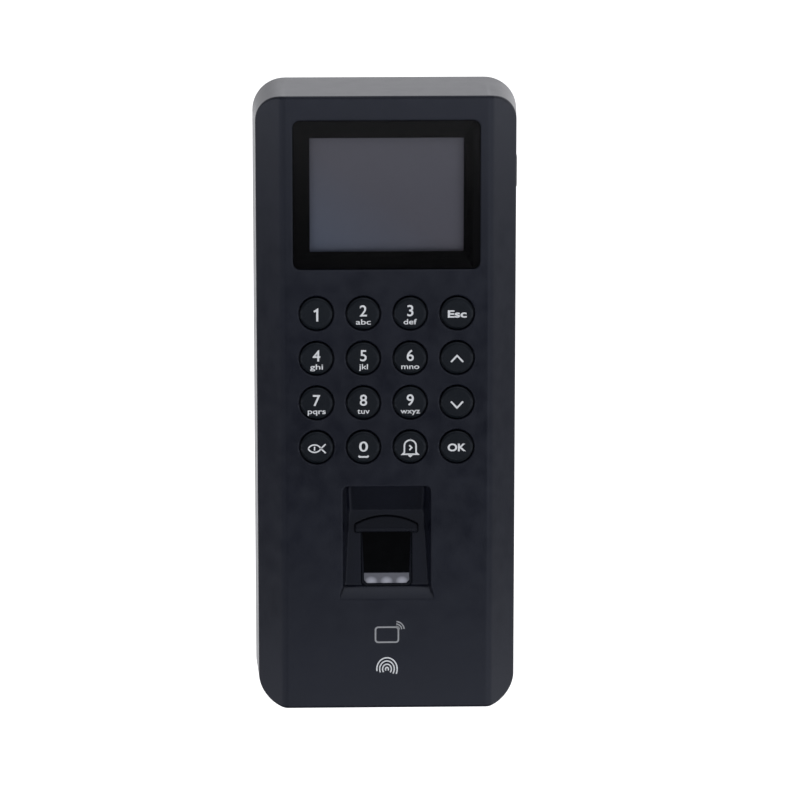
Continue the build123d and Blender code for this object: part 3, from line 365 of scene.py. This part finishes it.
def stroke_mesh(lines, width, thickness):
    """Flat printed lines through points in the XY plane; a line whose ends meet is closed."""
    profile_data = bpy.data.curves.new("stroke_profile", "CURVE")
    profile_data.dimensions = "2D"
    profile_spline = profile_data.splines.new("POLY")
    corners = [(-width / 2, 0), (width / 2, 0), (width / 2, thickness), (-width / 2, thickness)]
    profile_spline.points.add(3)
    for point, (x, y) in zip(profile_spline.points, corners):
        point.co = (x, y, 0, 1)
    profile_spline.use_cyclic_u = True
    profile = bpy.data.objects.new("stroke_profile", profile_data)
    data = bpy.data.curves.new("stroke", "CURVE")
    data.dimensions = "2D"
    data.bevel_mode = "OBJECT"
    data.bevel_object = profile
    data.use_fill_caps = True
    data.fill_mode = "NONE"
    for line in lines:
        closed = (Vector(line[0]) - Vector(line[-1])).length < width * 0.05
        points = line[:-1] if closed else line
        spline = data.splines.new("POLY")
        spline.points.add(len(points) - 1)
        for point, (x, y) in zip(spline.points, points):
            point.co = (x, y, 0, 1)
        spline.use_cyclic_u = closed
    mesh = mesh_of(bpy.data.objects.new("stroke", data))
    bpy.data.objects.remove(profile)
    bpy.data.curves.remove(profile_data)
    return mesh


def arc_points(centre, radius, start, end, steps=14, squash=1.0):
    """Points along an arc, angles in degrees; squash flattens it in y."""
    points = []
    for step in range(steps + 1):
        angle = math.radians(start + (end - start) * step / steps)
        points.append((centre[0] + radius * math.cos(angle),
                       centre[1] + radius * math.sin(angle) * squash))
    return points


def rounded_rectangle(width, height, radius, centre=(0, 0), steps=6):
    """Closed outline of a rectangle with round corners."""
    outline = []
    for sign_x, sign_y, start in ((1, 1, 0), (-1, 1, 90), (-1, -1, 180), (1, -1, 270)):
        corner = (centre[0] + sign_x * (width / 2 - radius), centre[1] + sign_y * (height / 2 - radius))
        outline += arc_points(corner, radius, start, start + 90, steps)
    return outline + [outline[0]]


def text_mesh(words, height, weight, thickness, baseline, width=None):
    """Filled lettering centred on x, whose capitals have this height, stretched to a width."""
    data = bpy.data.curves.new("lettering", "FONT")
    data.body = words
    data.size = height / CAPITAL_SHARE
    data.offset = weight
    data.extrude = thickness / 2
    data.resolution_u = 6
    mesh = mesh_of(bpy.data.objects.new("lettering", data))
    low = min(vertex.co.x for vertex in mesh.vertices)
    high = max(vertex.co.x for vertex in mesh.vertices)
    stretch = width / (high - low) if width else 1.0
    mesh.transform(Matrix.Translation((0, baseline, thickness / 2))
                   @ Matrix.Diagonal((stretch, 1, 1, 1))
                   @ Matrix.Translation((-(low + high) / 2, 0, 0)))
    return mesh


def joined_piece(name, meshes, matrix, material, body):
    """One object made of several meshes, riding on a body."""
    piece_mesh = bpy.data.meshes.new(name)
    vertices, faces = [], []
    for mesh in meshes:
        base = len(vertices)
        vertices += [matrix @ vertex.co for vertex in mesh.vertices]
        faces += [[base + index for index in face.vertices] for face in mesh.polygons]
        bpy.data.meshes.remove(mesh)
    piece_mesh.from_pydata(vertices, [], faces)
    piece_mesh.materials.append(material)
    piece = bpy.data.objects.new(name, piece_mesh)
    bpy.context.collection.objects.link(piece)
    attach(piece, body)
    return piece


# ---------------------------------------------------------------- case and fasteners


class TERMINAL_OT_case(bpy.types.Operator):
    """Finish the moulded shell, rear cover and seals"""

    bl_idname = "terminal.case"
    bl_label = "Case"

    def execute(self, context):
        settings = context.scene.terminal_case
        shell = moulded_plastic("case_plastic", tuple(settings.plastic), settings.grain, 0.000004, 0.17,
                                rounding=0.0007, tint=SHEEN_TINT)
        cover = moulded_plastic("cover_plastic", tuple(settings.cover), 0.0005, 0.00005, 0.5)
        holder = moulded_plastic("holder_plastic", (0.02, 0.02, 0.022), 0.0004, 0.00002, 0.45)
        finish_nodes(shell, "front_shell")
        finish_nodes(cover, "rear_cover")
        finish_nodes(holder, "lcd_holder", "sensor_housing")
        finish_nodes(rubber("seal_rubber", (0.01, 0.01, 0.012)), "rear_seal", "side_port_cover")
        finish_nodes(rubber("plunger_rubber", (0.02, 0.02, 0.02)), "tamper_plunger")
        return {"FINISHED"}


class TERMINAL_OT_bracket(bpy.types.Operator):
    """Finish the wall bracket and the screws"""

    bl_idname = "terminal.bracket"
    bl_label = "Bracket and screws"

    def execute(self, context):
        finish_nodes(zinc_plate("bracket_zinc", (0.56, 0.57, 0.58)), "wall_bracket")
        screw = brushed_metal("screw_zinc", (0.62, 0.62, 0.63), 0.3, direction=(1, 0.2, 1))
        finish_nodes(screw, "case_screws", "board_screws", "keypad_screws", "sensor_screws")
        finish_nodes(brushed_metal("lock_screw_black", (0.12, 0.12, 0.125), 0.38), "lock_screw")
        return {"FINISHED"}


# ---------------------------------------------------------------- display


def cover_glass(name):
    """Thin coated cover glass: nearly clear, with a faint dark tint and a quiet reflection."""
    nodes = Nodes(name)
    smears = nodes.noise(0.012, detail=2)
    nodes.link(nodes.blend(nodes.spread(smears, 0, 1), (0.002, 0.002, 0.003), (0.004, 0.004, 0.005)),
               nodes.shader.inputs["Base Color"])
    nodes.link(nodes.spread(smears, 0.03, 0.07), nodes.shader.inputs["Roughness"])
    nodes.bump(nodes.noise(0.02, detail=1), 0.000001)
    nodes.set("IOR", 1.5)
    nodes.set("Alpha", 0.2)
    return nodes.material


def back_ink(name, colour):
    """Black ink on the back of the cover glass, smooth because the glass is its mould."""
    nodes = Nodes(name)
    film = nodes.noise(0.004, detail=5)
    nodes.link(nodes.blend(nodes.spread(film, 0, 1), lighter(colour, 0.85), lighter(colour, 1.2)),
               nodes.shader.inputs["Base Color"])
    nodes.link(nodes.spread(film, 0.36, 0.46), nodes.shader.inputs["Roughness"])
    nodes.bump(nodes.noise(0.003, detail=1), 0.0000005)
    nodes.set("Specular IOR Level", 0.1)
    return nodes.material


def display_panel(name, colour, reflection_tint):
    """Unlit display: dark polariser, with a painted reflection: a cooler tint painted into its colour
    towards one lower corner.
    """
    nodes = Nodes(name)
    split = nodes.add("ShaderNodeSeparateXYZ")
    nodes.link(nodes.coords, split.inputs["Vector"])
    low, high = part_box("lcd_panel")
    across = nodes.spread(split.outputs["X"], 0.0, 1.0, low.x, high.x)
    upwards = nodes.spread(split.outputs["Z"], 0.0, 1.0, low.z, high.z)
    # Painted reflection: the colour turns to the cooler tint towards the lower left corner.
    corner = nodes.spread(nodes.maths("ADD", across, upwards), 1.0, 0.0, 0.15, 0.95)
    nodes.link(nodes.blend(corner, colour, reflection_tint), nodes.shader.inputs["Base Color"])
    nodes.link(nodes.spread(nodes.noise(0.0003), 0.42, 0.48), nodes.shader.inputs["Roughness"])
    nodes.bump(nodes.noise(0.003, detail=1), 0.0000005)
    nodes.set("Specular IOR Level", 0.2)
    return nodes.material


class TERMINAL_OT_display(bpy.types.Operator):
    """Finish the cover glass, its printed border and the display behind it"""

    bl_idname = "terminal.display"
    bl_label = "Display"

    def execute(self, context):
        settings = context.scene.terminal_display
        finish_nodes(cover_glass("lens_glass"), "display_lens")
        finish_nodes(back_ink("mask_ink", tuple(settings.border)), "lens_mask")
        finish_nodes(
            display_panel("display_glass", tuple(settings.panel), tuple(settings.panel_reflection_tint)),
            "lcd_panel",
        )
        finish_nodes(rubber("foam_black", (0.008, 0.008, 0.008)), "lcd_gasket")
        light_guide = moulded_plastic("light_guide", (0.75, 0.76, 0.78), 0.0006, 0.00001, 0.2)
        finish_nodes(light_guide, "lcd_backlight")
        tray = brushed_metal("tray_steel", (0.6, 0.6, 0.6), 0.32)
        finish_nodes(tray, "lcd_frame", "shield_can", "usb_port")
        return {"FINISHED"}


# ---------------------------------------------------------------- keypad


def chevron(direction, middle):
    """The up or down arrow of a menu key."""
    half_width, rise = 1.95 * MM, 1.05 * MM * direction
    return [[(-half_width, middle - rise), (0, middle + rise), (half_width, middle - rise)]]


def clear_mark():
    """Leaf-shaped outline with a bar in it and crossed ends on the right."""
    middle, tip, cross, end, open_half = -0.3 * MM, -2.8 * MM, 1.3 * MM, 2.85 * MM, 1.5 * MM
    upper = [(x, y + middle) for x, y in arc_points((-0.75 * MM, -1.1 * MM), 2.35 * MM, 150, 42, 12)]
    lower = [(x, 2 * middle - y) for x, y in upper]
    return [
        [(tip, middle)] + upper[1:] + [(cross, middle), (end, middle - open_half)],
        [(tip, middle)] + lower[1:] + [(cross, middle), (end, middle + open_half)],
        [(-0.75 * MM, middle - 0.6 * MM), (-0.75 * MM, middle + 0.65 * MM)],
    ]


def space_mark(drop):
    """Shallow tray under the zero, with its ends turned up."""
    half, lift = 1.6 * MM, 0.42 * MM
    return [[(-half, drop + lift), (-half + 0.3 * MM, drop), (half - 0.3 * MM, drop), (half, drop + lift)]]


def bell_mark():
    """Door bell: dome, foot, clapper, knob and an arrow inside."""
    half, foot, spring_line = 1.9 * MM, -2.35 * MM, 0.45 * MM
    dome = arc_points((0, spring_line), half, 0, 180, 16)
    outline = [(half + 0.6 * MM, foot), (half, foot + 0.6 * MM)] + dome
    outline += [(-half, foot + 0.6 * MM), (-half - 0.6 * MM, foot), (half + 0.6 * MM, foot)]
    return [
        outline,
        [(0, half + spring_line), (0, half + spring_line + 0.35 * MM)],
        [(-0.6 * MM, foot - 0.2 * MM), (0, foot - 0.75 * MM), (0.6 * MM, foot - 0.2 * MM)],
        [(-0.3 * MM, 0.65 * MM), (0.5 * MM, -0.15 * MM), (-0.3 * MM, -0.95 * MM)],
    ]


def legend_meshes(name, settings):
    """The printed marks of one key, drawn in the XY plane around the key's middle."""
    film = PRINT_FILM
    stroke = settings.stroke
    if name == "1":
        one = [[(-0.75 * MM, 0.75 * MM), (0.3 * MM, 1.4 * MM), (0.3 * MM, -2.45 * MM)]]
        return [stroke_mesh(one, stroke * 1.2, film)]
    if name == "up":
        return [stroke_mesh(chevron(1, -0.25 * MM), stroke, film)]
    if name == "down":
        return [stroke_mesh(chevron(-1, -0.7 * MM), stroke, film)]
    if name == "clear":
        return [stroke_mesh(clear_mark(), stroke * 0.8, film)]
    if name == "bell":
        return [stroke_mesh(bell_mark(), stroke * 0.9, film)]
    if name == "esc":
        return [text_mesh("Esc", 2.5 * MM, 0.10 * MM, film, -1.3 * MM, 6.1 * MM)]
    if name == "ok":
        return [text_mesh("OK", 2.65 * MM, 0.10 * MM, film, -1.35 * MM, 6.0 * MM)]
    weight = settings.weight
    if name == "0":
        zero = text_mesh("0", settings.digit_height * 0.9, weight, film, -1.3 * MM, 2.85 * MM)
        return [zero, stroke_mesh(space_mark(-3.15 * MM), stroke, film)]
    letters, width = KEY_LETTERS[name]
    digit = text_mesh(name, settings.digit_height, weight, film, -0.8 * MM)
    small = text_mesh(letters, settings.letter_height, weight * 0.5, film, -3.5 * MM, width * MM)
    return [digit, small]


class TERMINAL_OT_keypad(bpy.types.Operator):
    """Finish the keycaps and print a legend on each of them"""

    bl_idname = "terminal.keypad"
    bl_label = "Keypad"

    def execute(self, context):
        settings = context.scene.terminal_keypad
        cap = moulded_plastic("key_plastic", tuple(settings.cap), 0.00016, 0.000004, 0.22, 0.0003,
                              specular=0.3, tint=SHEEN_TINT)
        ink = printed_ink("legend_ink", tuple(settings.ink))
        for name in KEY_NAMES:
            node_name = f"key_{name}"
            finish_nodes(cap, node_name)
            low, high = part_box(node_name)
            middle = (low + high) / 2
            matrix = front_matrix(middle.x, -low.y - PRINT_SINK, middle.z)
            joined_piece(f"legend_{name}", legend_meshes(name, settings), matrix, ink,
                         f"keycap_{name}")
        finish_nodes(rubber("mat_silicone", (0.25, 0.26, 0.27)), "keypad_mat")
        return {"FINISHED"}


# ---------------------------------------------------------------- finger pocket


def optical_window(name, colour):
    """Dark polished optical glass with a faint finger haze."""
    nodes = Nodes(name)
    haze = nodes.noise(0.004, detail=6)
    nodes.link(nodes.blend(nodes.spread(haze, 0, 1), colour, lighter(colour, 1.6)),
               nodes.shader.inputs["Base Color"])
    nodes.link(nodes.spread(haze, 0.12, 0.25), nodes.shader.inputs["Roughness"])
    nodes.bump(nodes.noise(0.004, detail=1), 0.000002, 0.0001)
    nodes.set("Specular IOR Level", 0.06)
    return nodes.material


def light_bar(name, colour, spots):
    """Frosted bar with three soft spots where the emitters sit behind it."""
    nodes = Nodes(name)
    low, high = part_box("led_light_bar")
    split = nodes.add("ShaderNodeSeparateXYZ")
    nodes.link(nodes.coords, split.inputs["Vector"])
    brightest = None
    for place in (-0.34, 0.0, 0.34):
        centre = (low.x + high.x) / 2 + place * (high.x - low.x)
        across = nodes.maths("MULTIPLY", nodes.maths("SUBTRACT", split.outputs["X"], centre), 1 / (1.7 * MM))
        down = nodes.maths("SUBTRACT", split.outputs["Z"], low.z + 1.0 * MM)
        down = nodes.maths("MULTIPLY", down, 1 / (1.3 * MM))
        reach = nodes.maths("ADD", nodes.maths("MULTIPLY", across, across),
                            nodes.maths("MULTIPLY", down, down))
        spot = nodes.spread(reach, 1.0, 0.0, 0.0, 1.6)
        brightest = spot if brightest is None else nodes.maths("MAXIMUM", brightest, spot)
    frost = nodes.noise(0.00025)
    base = nodes.blend(nodes.spread(frost, 0, 1), lighter(colour, 0.92), lighter(colour, 1.08))
    nodes.link(nodes.blend(brightest, base, spots), nodes.shader.inputs["Base Color"])
    nodes.link(nodes.spread(frost, 0.4, 0.52), nodes.shader.inputs["Roughness"])
    nodes.bump(frost, 0.00001, 0.00015)
    return nodes.material


class TERMINAL_OT_sensor(bpy.types.Operator):
    """Finish the fingertip stop, optical window, light bar and the optics behind them"""

    bl_idname = "terminal.sensor"
    bl_label = "Finger sensor"

    def execute(self, context):
        settings = context.scene.terminal_sensor
        case = context.scene.terminal_case
        bezel = moulded_plastic("bezel_plastic", lighter(case.plastic, 0.7), case.grain, 0.000005, 0.25,
                                rounding=0.0008, specular=0.28, tint=SHEEN_TINT)
        finish_nodes(bezel, "sensor_bezel")
        finish_nodes(optical_window("sensor_glass", tuple(settings.window)), "sensor_window")
        finish_nodes(light_bar("diffuser", tuple(settings.diffuser), tuple(settings.spots)), "led_light_bar")
        finish_nodes(cover_glass("prism_glass"), "sensor_prism")
        camera_body = moulded_plastic("camera_plastic", (0.01, 0.01, 0.01), 0.0002, 0.00001, 0.4)
        finish_nodes(camera_body, "sensor_camera")
        return {"FINISHED"}


# ---------------------------------------------------------------- printed marks on the shell


class TERMINAL_OT_marks(bpy.types.Operator):
    """Print the card mark and a plain fingerprint emblem under the finger pocket"""

    bl_idname = "terminal.marks"
    bl_label = "Printed marks"

    def execute(self, context):
        face = -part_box("front_shell")[0].y
        film = PRINT_FILM
        grey = printed_ink("card_mark_ink", (0.27, 0.28, 0.30))
        card = [rounded_rectangle(7.5 * MM, 5.1 * MM, 0.9 * MM)]
        waves = []
        corner = (2.9 * MM, 1.7 * MM)
        for radius in (1.15 * MM, 1.95 * MM, 2.75 * MM):
            waves.append(arc_points(corner, radius, 5, 85, 10))
        meshes = [stroke_mesh(card, 0.52 * MM, film), stroke_mesh(waves, 0.42 * MM, film)]
        joined_piece("card_mark", meshes, front_matrix(0, face - PRINT_SINK, CARD_MARK_Z), grey,
                     "terminal")
        white = printed_ink("emblem_ink", (0.6, 0.62, 0.65))
        ridges = []
        for ring in range(4):
            radius = (0.5 + 0.95 * ring) * MM
            ridges.append(arc_points((0, 0), radius, -52 + 9 * ring, 232 - 14 * ring, 20, squash=1.15))
        joined_piece("emblem", [stroke_mesh(ridges, 0.42 * MM, film)],
                     front_matrix(0, face - PRINT_SINK, EMBLEM_Z), white, "terminal")
        return {"FINISHED"}


# ---------------------------------------------------------------- boards


class TERMINAL_OT_boards(bpy.types.Operator):
    """Finish the circuit boards, their components and the ribbons between them"""

    bl_idname = "terminal.boards"
    bl_label = "Boards"

    def execute(self, context):
        board = solder_mask("board_mask", (0.012, 0.075, 0.032))
        finish_nodes(board, "main_board", "keypad_board", "sensor_board", "antenna_board")
        chip = moulded_plastic("chip_epoxy", (0.014, 0.014, 0.015), 0.0001, 0.000008, 0.42)
        finish_nodes(chip, "processor", "board_components", "buzzer", "battery_holder", "tamper_switch")
        gold = brushed_metal("contact_gold", (0.86, 0.62, 0.24), 0.24)
        finish_nodes(gold, "key_contacts", "antenna_coil")
        finish_nodes(brushed_metal("cell_steel", (0.72, 0.72, 0.73), 0.22), "backup_battery")
        finish_nodes(moulded_plastic("relay_case", (0.015, 0.06, 0.25), 0.0004, 0.00001, 0.25), "relay")
        header = moulded_plastic("header_nylon", (0.62, 0.6, 0.52), 0.0003, 0.00001, 0.35)
        finish_nodes(header, "wire_headers")
        film = moulded_plastic("flex_film", (0.36, 0.15, 0.03), 0.0006, 0.000005, 0.28)
        finish_nodes(film, "lcd_flex", "keypad_flex", "sensor_flex")
        return {"FINISHED"}


# ---------------------------------------------------------------- studio

# Brightness of the room by direction: (cosine with the axis, brightness)
BACKDROP_DEPTH = ((-1, 0.0), (0.1, 0.0), (0.35, 0.45), (0.6, 0.95), (1, 1.0))
BACKDROP_SIDES = ((-1, 0.45), (-0.25, 0.49), (0, 0.80), (0.25, 0.72), (1, 0.88))
ROOM_DEPTH = ((-1, 1.0), (-0.4, 0.9), (0.1, 0.9), (0.4, 0.0), (1, 0.0))
ROOM_SIDES = ((-1, 0.9), (-0.1, 0.7), (0.08, 1.1), (1, 1.1))
# Least brightness towards the sides, which the two facets mirror
ROOM_EDGES = ((-1, 0.2), (-0.3, 0.2), (-0.12, 0.0), (0.12, 0.0), (0.3, 0.38), (1, 0.38))
ROOM_HEIGHTS = (
    (-1, 0.1), (-0.5, 0.12), (-0.4, 0.9), (-0.33, 1.3), (-0.28, 0.35), (-0.255, 0.0), (-0.2, 0.0),
    (-0.18, 0.25), (-0.13, 1.3), (-0.05, 0.8), (0.02, 0.5), (0.1, 0.36), (0.25, 0.26), (0.6, 0.5), (1, 0.9),
)


def soft_light(name, place, target, size, power):
    """Rectangular softbox aimed at a point, which lights the terminal but isn't mirrored in it."""
    data = bpy.data.lights.new(name, "AREA")
    data.shape = "RECTANGLE"
    data.size, data.size_y = size
    data.energy = power
    lamp = bpy.data.objects.new(name, data)
    lamp.location = place
    lamp.rotation_euler = (Vector(target) - Vector(place)).to_track_quat("-Z", "Y").to_euler()
    lamp.visible_glossy = False
    bpy.context.collection.objects.link(lamp)


def studio_world():
    """Bright backdrop behind the terminal and a dim room in front of it, lighter to the right."""
    world = bpy.data.worlds.new("studio")
    bpy.context.scene.world = world
    world.use_nodes = True
    tree = world.node_tree
    background = tree.nodes["Background"]
    split = tree.nodes.new("ShaderNodeSeparateXYZ")
    tree.links.new(tree.nodes.new("ShaderNodeTexCoord").outputs["Generated"], split.inputs["Vector"])

    def along(axis, stops):
        """Brightness that changes along an axis of the room, from -1 to 1."""
        curve = tree.nodes.new("ShaderNodeFloatCurve")
        shift = tree.nodes.new("ShaderNodeMapRange")
        shift.inputs["From Min"].default_value = -1
        tree.links.new(split.outputs[axis], shift.inputs["Value"])
        tree.links.new(shift.outputs["Result"], curve.inputs["Value"])
        points = curve.mapping.curves[0].points
        points[0].location = ((stops[0][0] + 1) / 2, stops[0][1] / 2)
        points[1].location = ((stops[-1][0] + 1) / 2, stops[-1][1] / 2)
        for place, value in stops[1:-1]:
            points.new((place + 1) / 2, value / 2)
        for point in points:
            point.handle_type = "AUTO_CLAMPED"
        curve.mapping.update()
        doubled = tree.nodes.new("ShaderNodeMath")
        doubled.operation = "MULTIPLY"
        doubled.inputs[1].default_value = 2
        tree.links.new(curve.outputs["Value"], doubled.inputs[0])
        return doubled.outputs[0]

    def combine(operation, first, second):
        node = tree.nodes.new("ShaderNodeMath")
        node.operation = operation
        tree.links.new(first, node.inputs[0])
        tree.links.new(second, node.inputs[1])
        return node.outputs[0]

    backdrop = combine("MULTIPLY", along("Y", BACKDROP_DEPTH), along("X", BACKDROP_SIDES))
    room = combine("MULTIPLY", along("Z", ROOM_HEIGHTS), along("X", ROOM_SIDES))
    room = combine("MAXIMUM", room, along("X", ROOM_EDGES))
    room = combine("MULTIPLY", room, along("Y", ROOM_DEPTH))
    bright = combine("ADD", backdrop, room)
    tint = tree.nodes.new("ShaderNodeMix")
    tint.data_type = "RGBA"
    tint.blend_type = "MULTIPLY"
    tint.inputs["Factor"].default_value = 1
    tree.links.new(bright, tint.inputs[6])
    tint.inputs[7].default_value = (0.965, 0.965, 1.0, 1)
    path = tree.nodes.new("ShaderNodeLightPath")
    mixer = tree.nodes.new("ShaderNodeMix")
    mixer.data_type = "RGBA"
    tree.links.new(path.outputs["Is Camera Ray"], mixer.inputs["Factor"])
    tree.links.new(tint.outputs[2], mixer.inputs[6])
    mixer.inputs[7].default_value = (1, 1, 1, 1)
    tree.links.new(mixer.outputs[2], background.inputs["Color"])
    background.inputs["Strength"].default_value = 1.0


def pale_floor(drop):
    """Wide pale floor under the hanging terminal."""
    floor_z = cad_box[0].z - drop
    mesh = bpy.data.meshes.new("floor")
    reach = 30
    mesh.from_pydata([(-reach, -reach, floor_z), (reach, -reach, floor_z), (reach, reach, floor_z),
                      (-reach, reach, floor_z)], [], [(0, 1, 2, 3)])
    nodes = Nodes("floor_paper")
    nodes.link(nodes.blend(nodes.spread(nodes.noise(0.4), 0, 1), (0.86, 0.86, 0.86), (0.9, 0.9, 0.9)),
               nodes.shader.inputs["Base Color"])
    nodes.set("Roughness", 0.9)
    nodes.set("Emission Color", (1, 1, 1, 1))
    nodes.set("Emission Strength", 0.8)
    mesh.materials.append(nodes.material)
    floor = bpy.data.objects.new("floor", mesh)
    bpy.context.collection.objects.link(floor)
    floor.visible_glossy = False


CAMERA_LENS_MM = 204.4
CAMERA_ASIDE = -0.0345
CAMERA_YAW, CAMERA_PITCH = math.radians(1.55), math.radians(13.03)


class TERMINAL_OT_stage(bpy.types.Operator):
    """Set up the floor, soft lights, camera and background"""

    bl_idname = "terminal.stage"
    bl_label = "Stage"

    def execute(self, context):
        studio = context.scene.terminal_studio
        context.scene.view_settings.view_transform = "Standard"
        studio_world()
        pale_floor(studio.floor_drop)
        soft_light("top_softbox", (-0.25, -0.35, 1.3), (0, 0, 0), (1.2, 0.8), 4)
        soft_light("right_softbox", (1.3, -0.9, 0.5), (0, 0, 0.05), (0.4, 0.6), 1.5)
        soft_light("left_softbox", (-1.35, -0.9, 0.4), (0, 0, 0.05), (0.4, 0.6), 1.5)
        face = cad_box[0].y
        data = bpy.data.cameras.new("camera")
        data.sensor_width = 36
        data.lens = CAMERA_LENS_MM
        data.clip_end = 100
        camera = bpy.data.objects.new("camera", data)
        camera.location = (CAMERA_ASIDE, face - studio.distance + 0.0007, studio.rise)
        level_part = math.cos(CAMERA_PITCH)
        gaze = Vector((math.sin(CAMERA_YAW) * level_part, math.cos(CAMERA_YAW) * level_part,
                       -math.sin(CAMERA_PITCH)))
        camera.rotation_euler = gaze.to_track_quat("-Z", "Y").to_euler()
        context.collection.objects.link(camera)
        context.scene.camera = camera
        return {"FINISHED"}


# ---------------------------------------------------------------- panel and registration

STEPS = (
    TERMINAL_OT_case,
    TERMINAL_OT_bracket,
    TERMINAL_OT_display,
    TERMINAL_OT_keypad,
    TERMINAL_OT_sensor,
    TERMINAL_OT_marks,
    TERMINAL_OT_boards,
    TERMINAL_OT_stage,
)
SETTINGS = {
    "terminal_case": CaseFinish,
    "terminal_display": DisplayFinish,
    "terminal_keypad": KeypadFinish,
    "terminal_sensor": SensorFinish,
    "terminal_studio": StudioSettings,
}


class TERMINAL_PT_panel(bpy.types.Panel):
    """Lists the terminal's settings and steps"""

    bl_label = "Fingerprint terminal"
    bl_idname = "TERMINAL_PT_panel"
    bl_space_type = "VIEW_3D"
    bl_region_type = "UI"
    bl_category = "Terminal"

    def draw(self, context):
        layout = self.layout
        for name, group in SETTINGS.items():
            box = layout.box()
            values = getattr(context.scene, name)
            for key in group.__annotations__:
                box.prop(values, key)
        for step in STEPS:
            layout.operator(step.bl_idname)


def register():
    for group in SETTINGS.values():
        bpy.utils.register_class(group)
    for name, group in SETTINGS.items():
        setattr(bpy.types.Scene, name, PointerProperty(type=group))
    for step in STEPS:
        bpy.utils.register_class(step)
    bpy.utils.register_class(TERMINAL_PT_panel)


def unregister():
    bpy.utils.unregister_class(TERMINAL_PT_panel)
    for step in reversed(STEPS):
        bpy.utils.unregister_class(step)
    for name, group in SETTINGS.items():
        delattr(bpy.types.Scene, name)
        bpy.utils.unregister_class(group)


def main():
    """Builds the whole scene."""
    register()
    for step in STEPS:
        area, action = step.bl_idname.split(".")
        getattr(getattr(bpy.ops, area), action)()


if __name__ == "__main__":
    main()
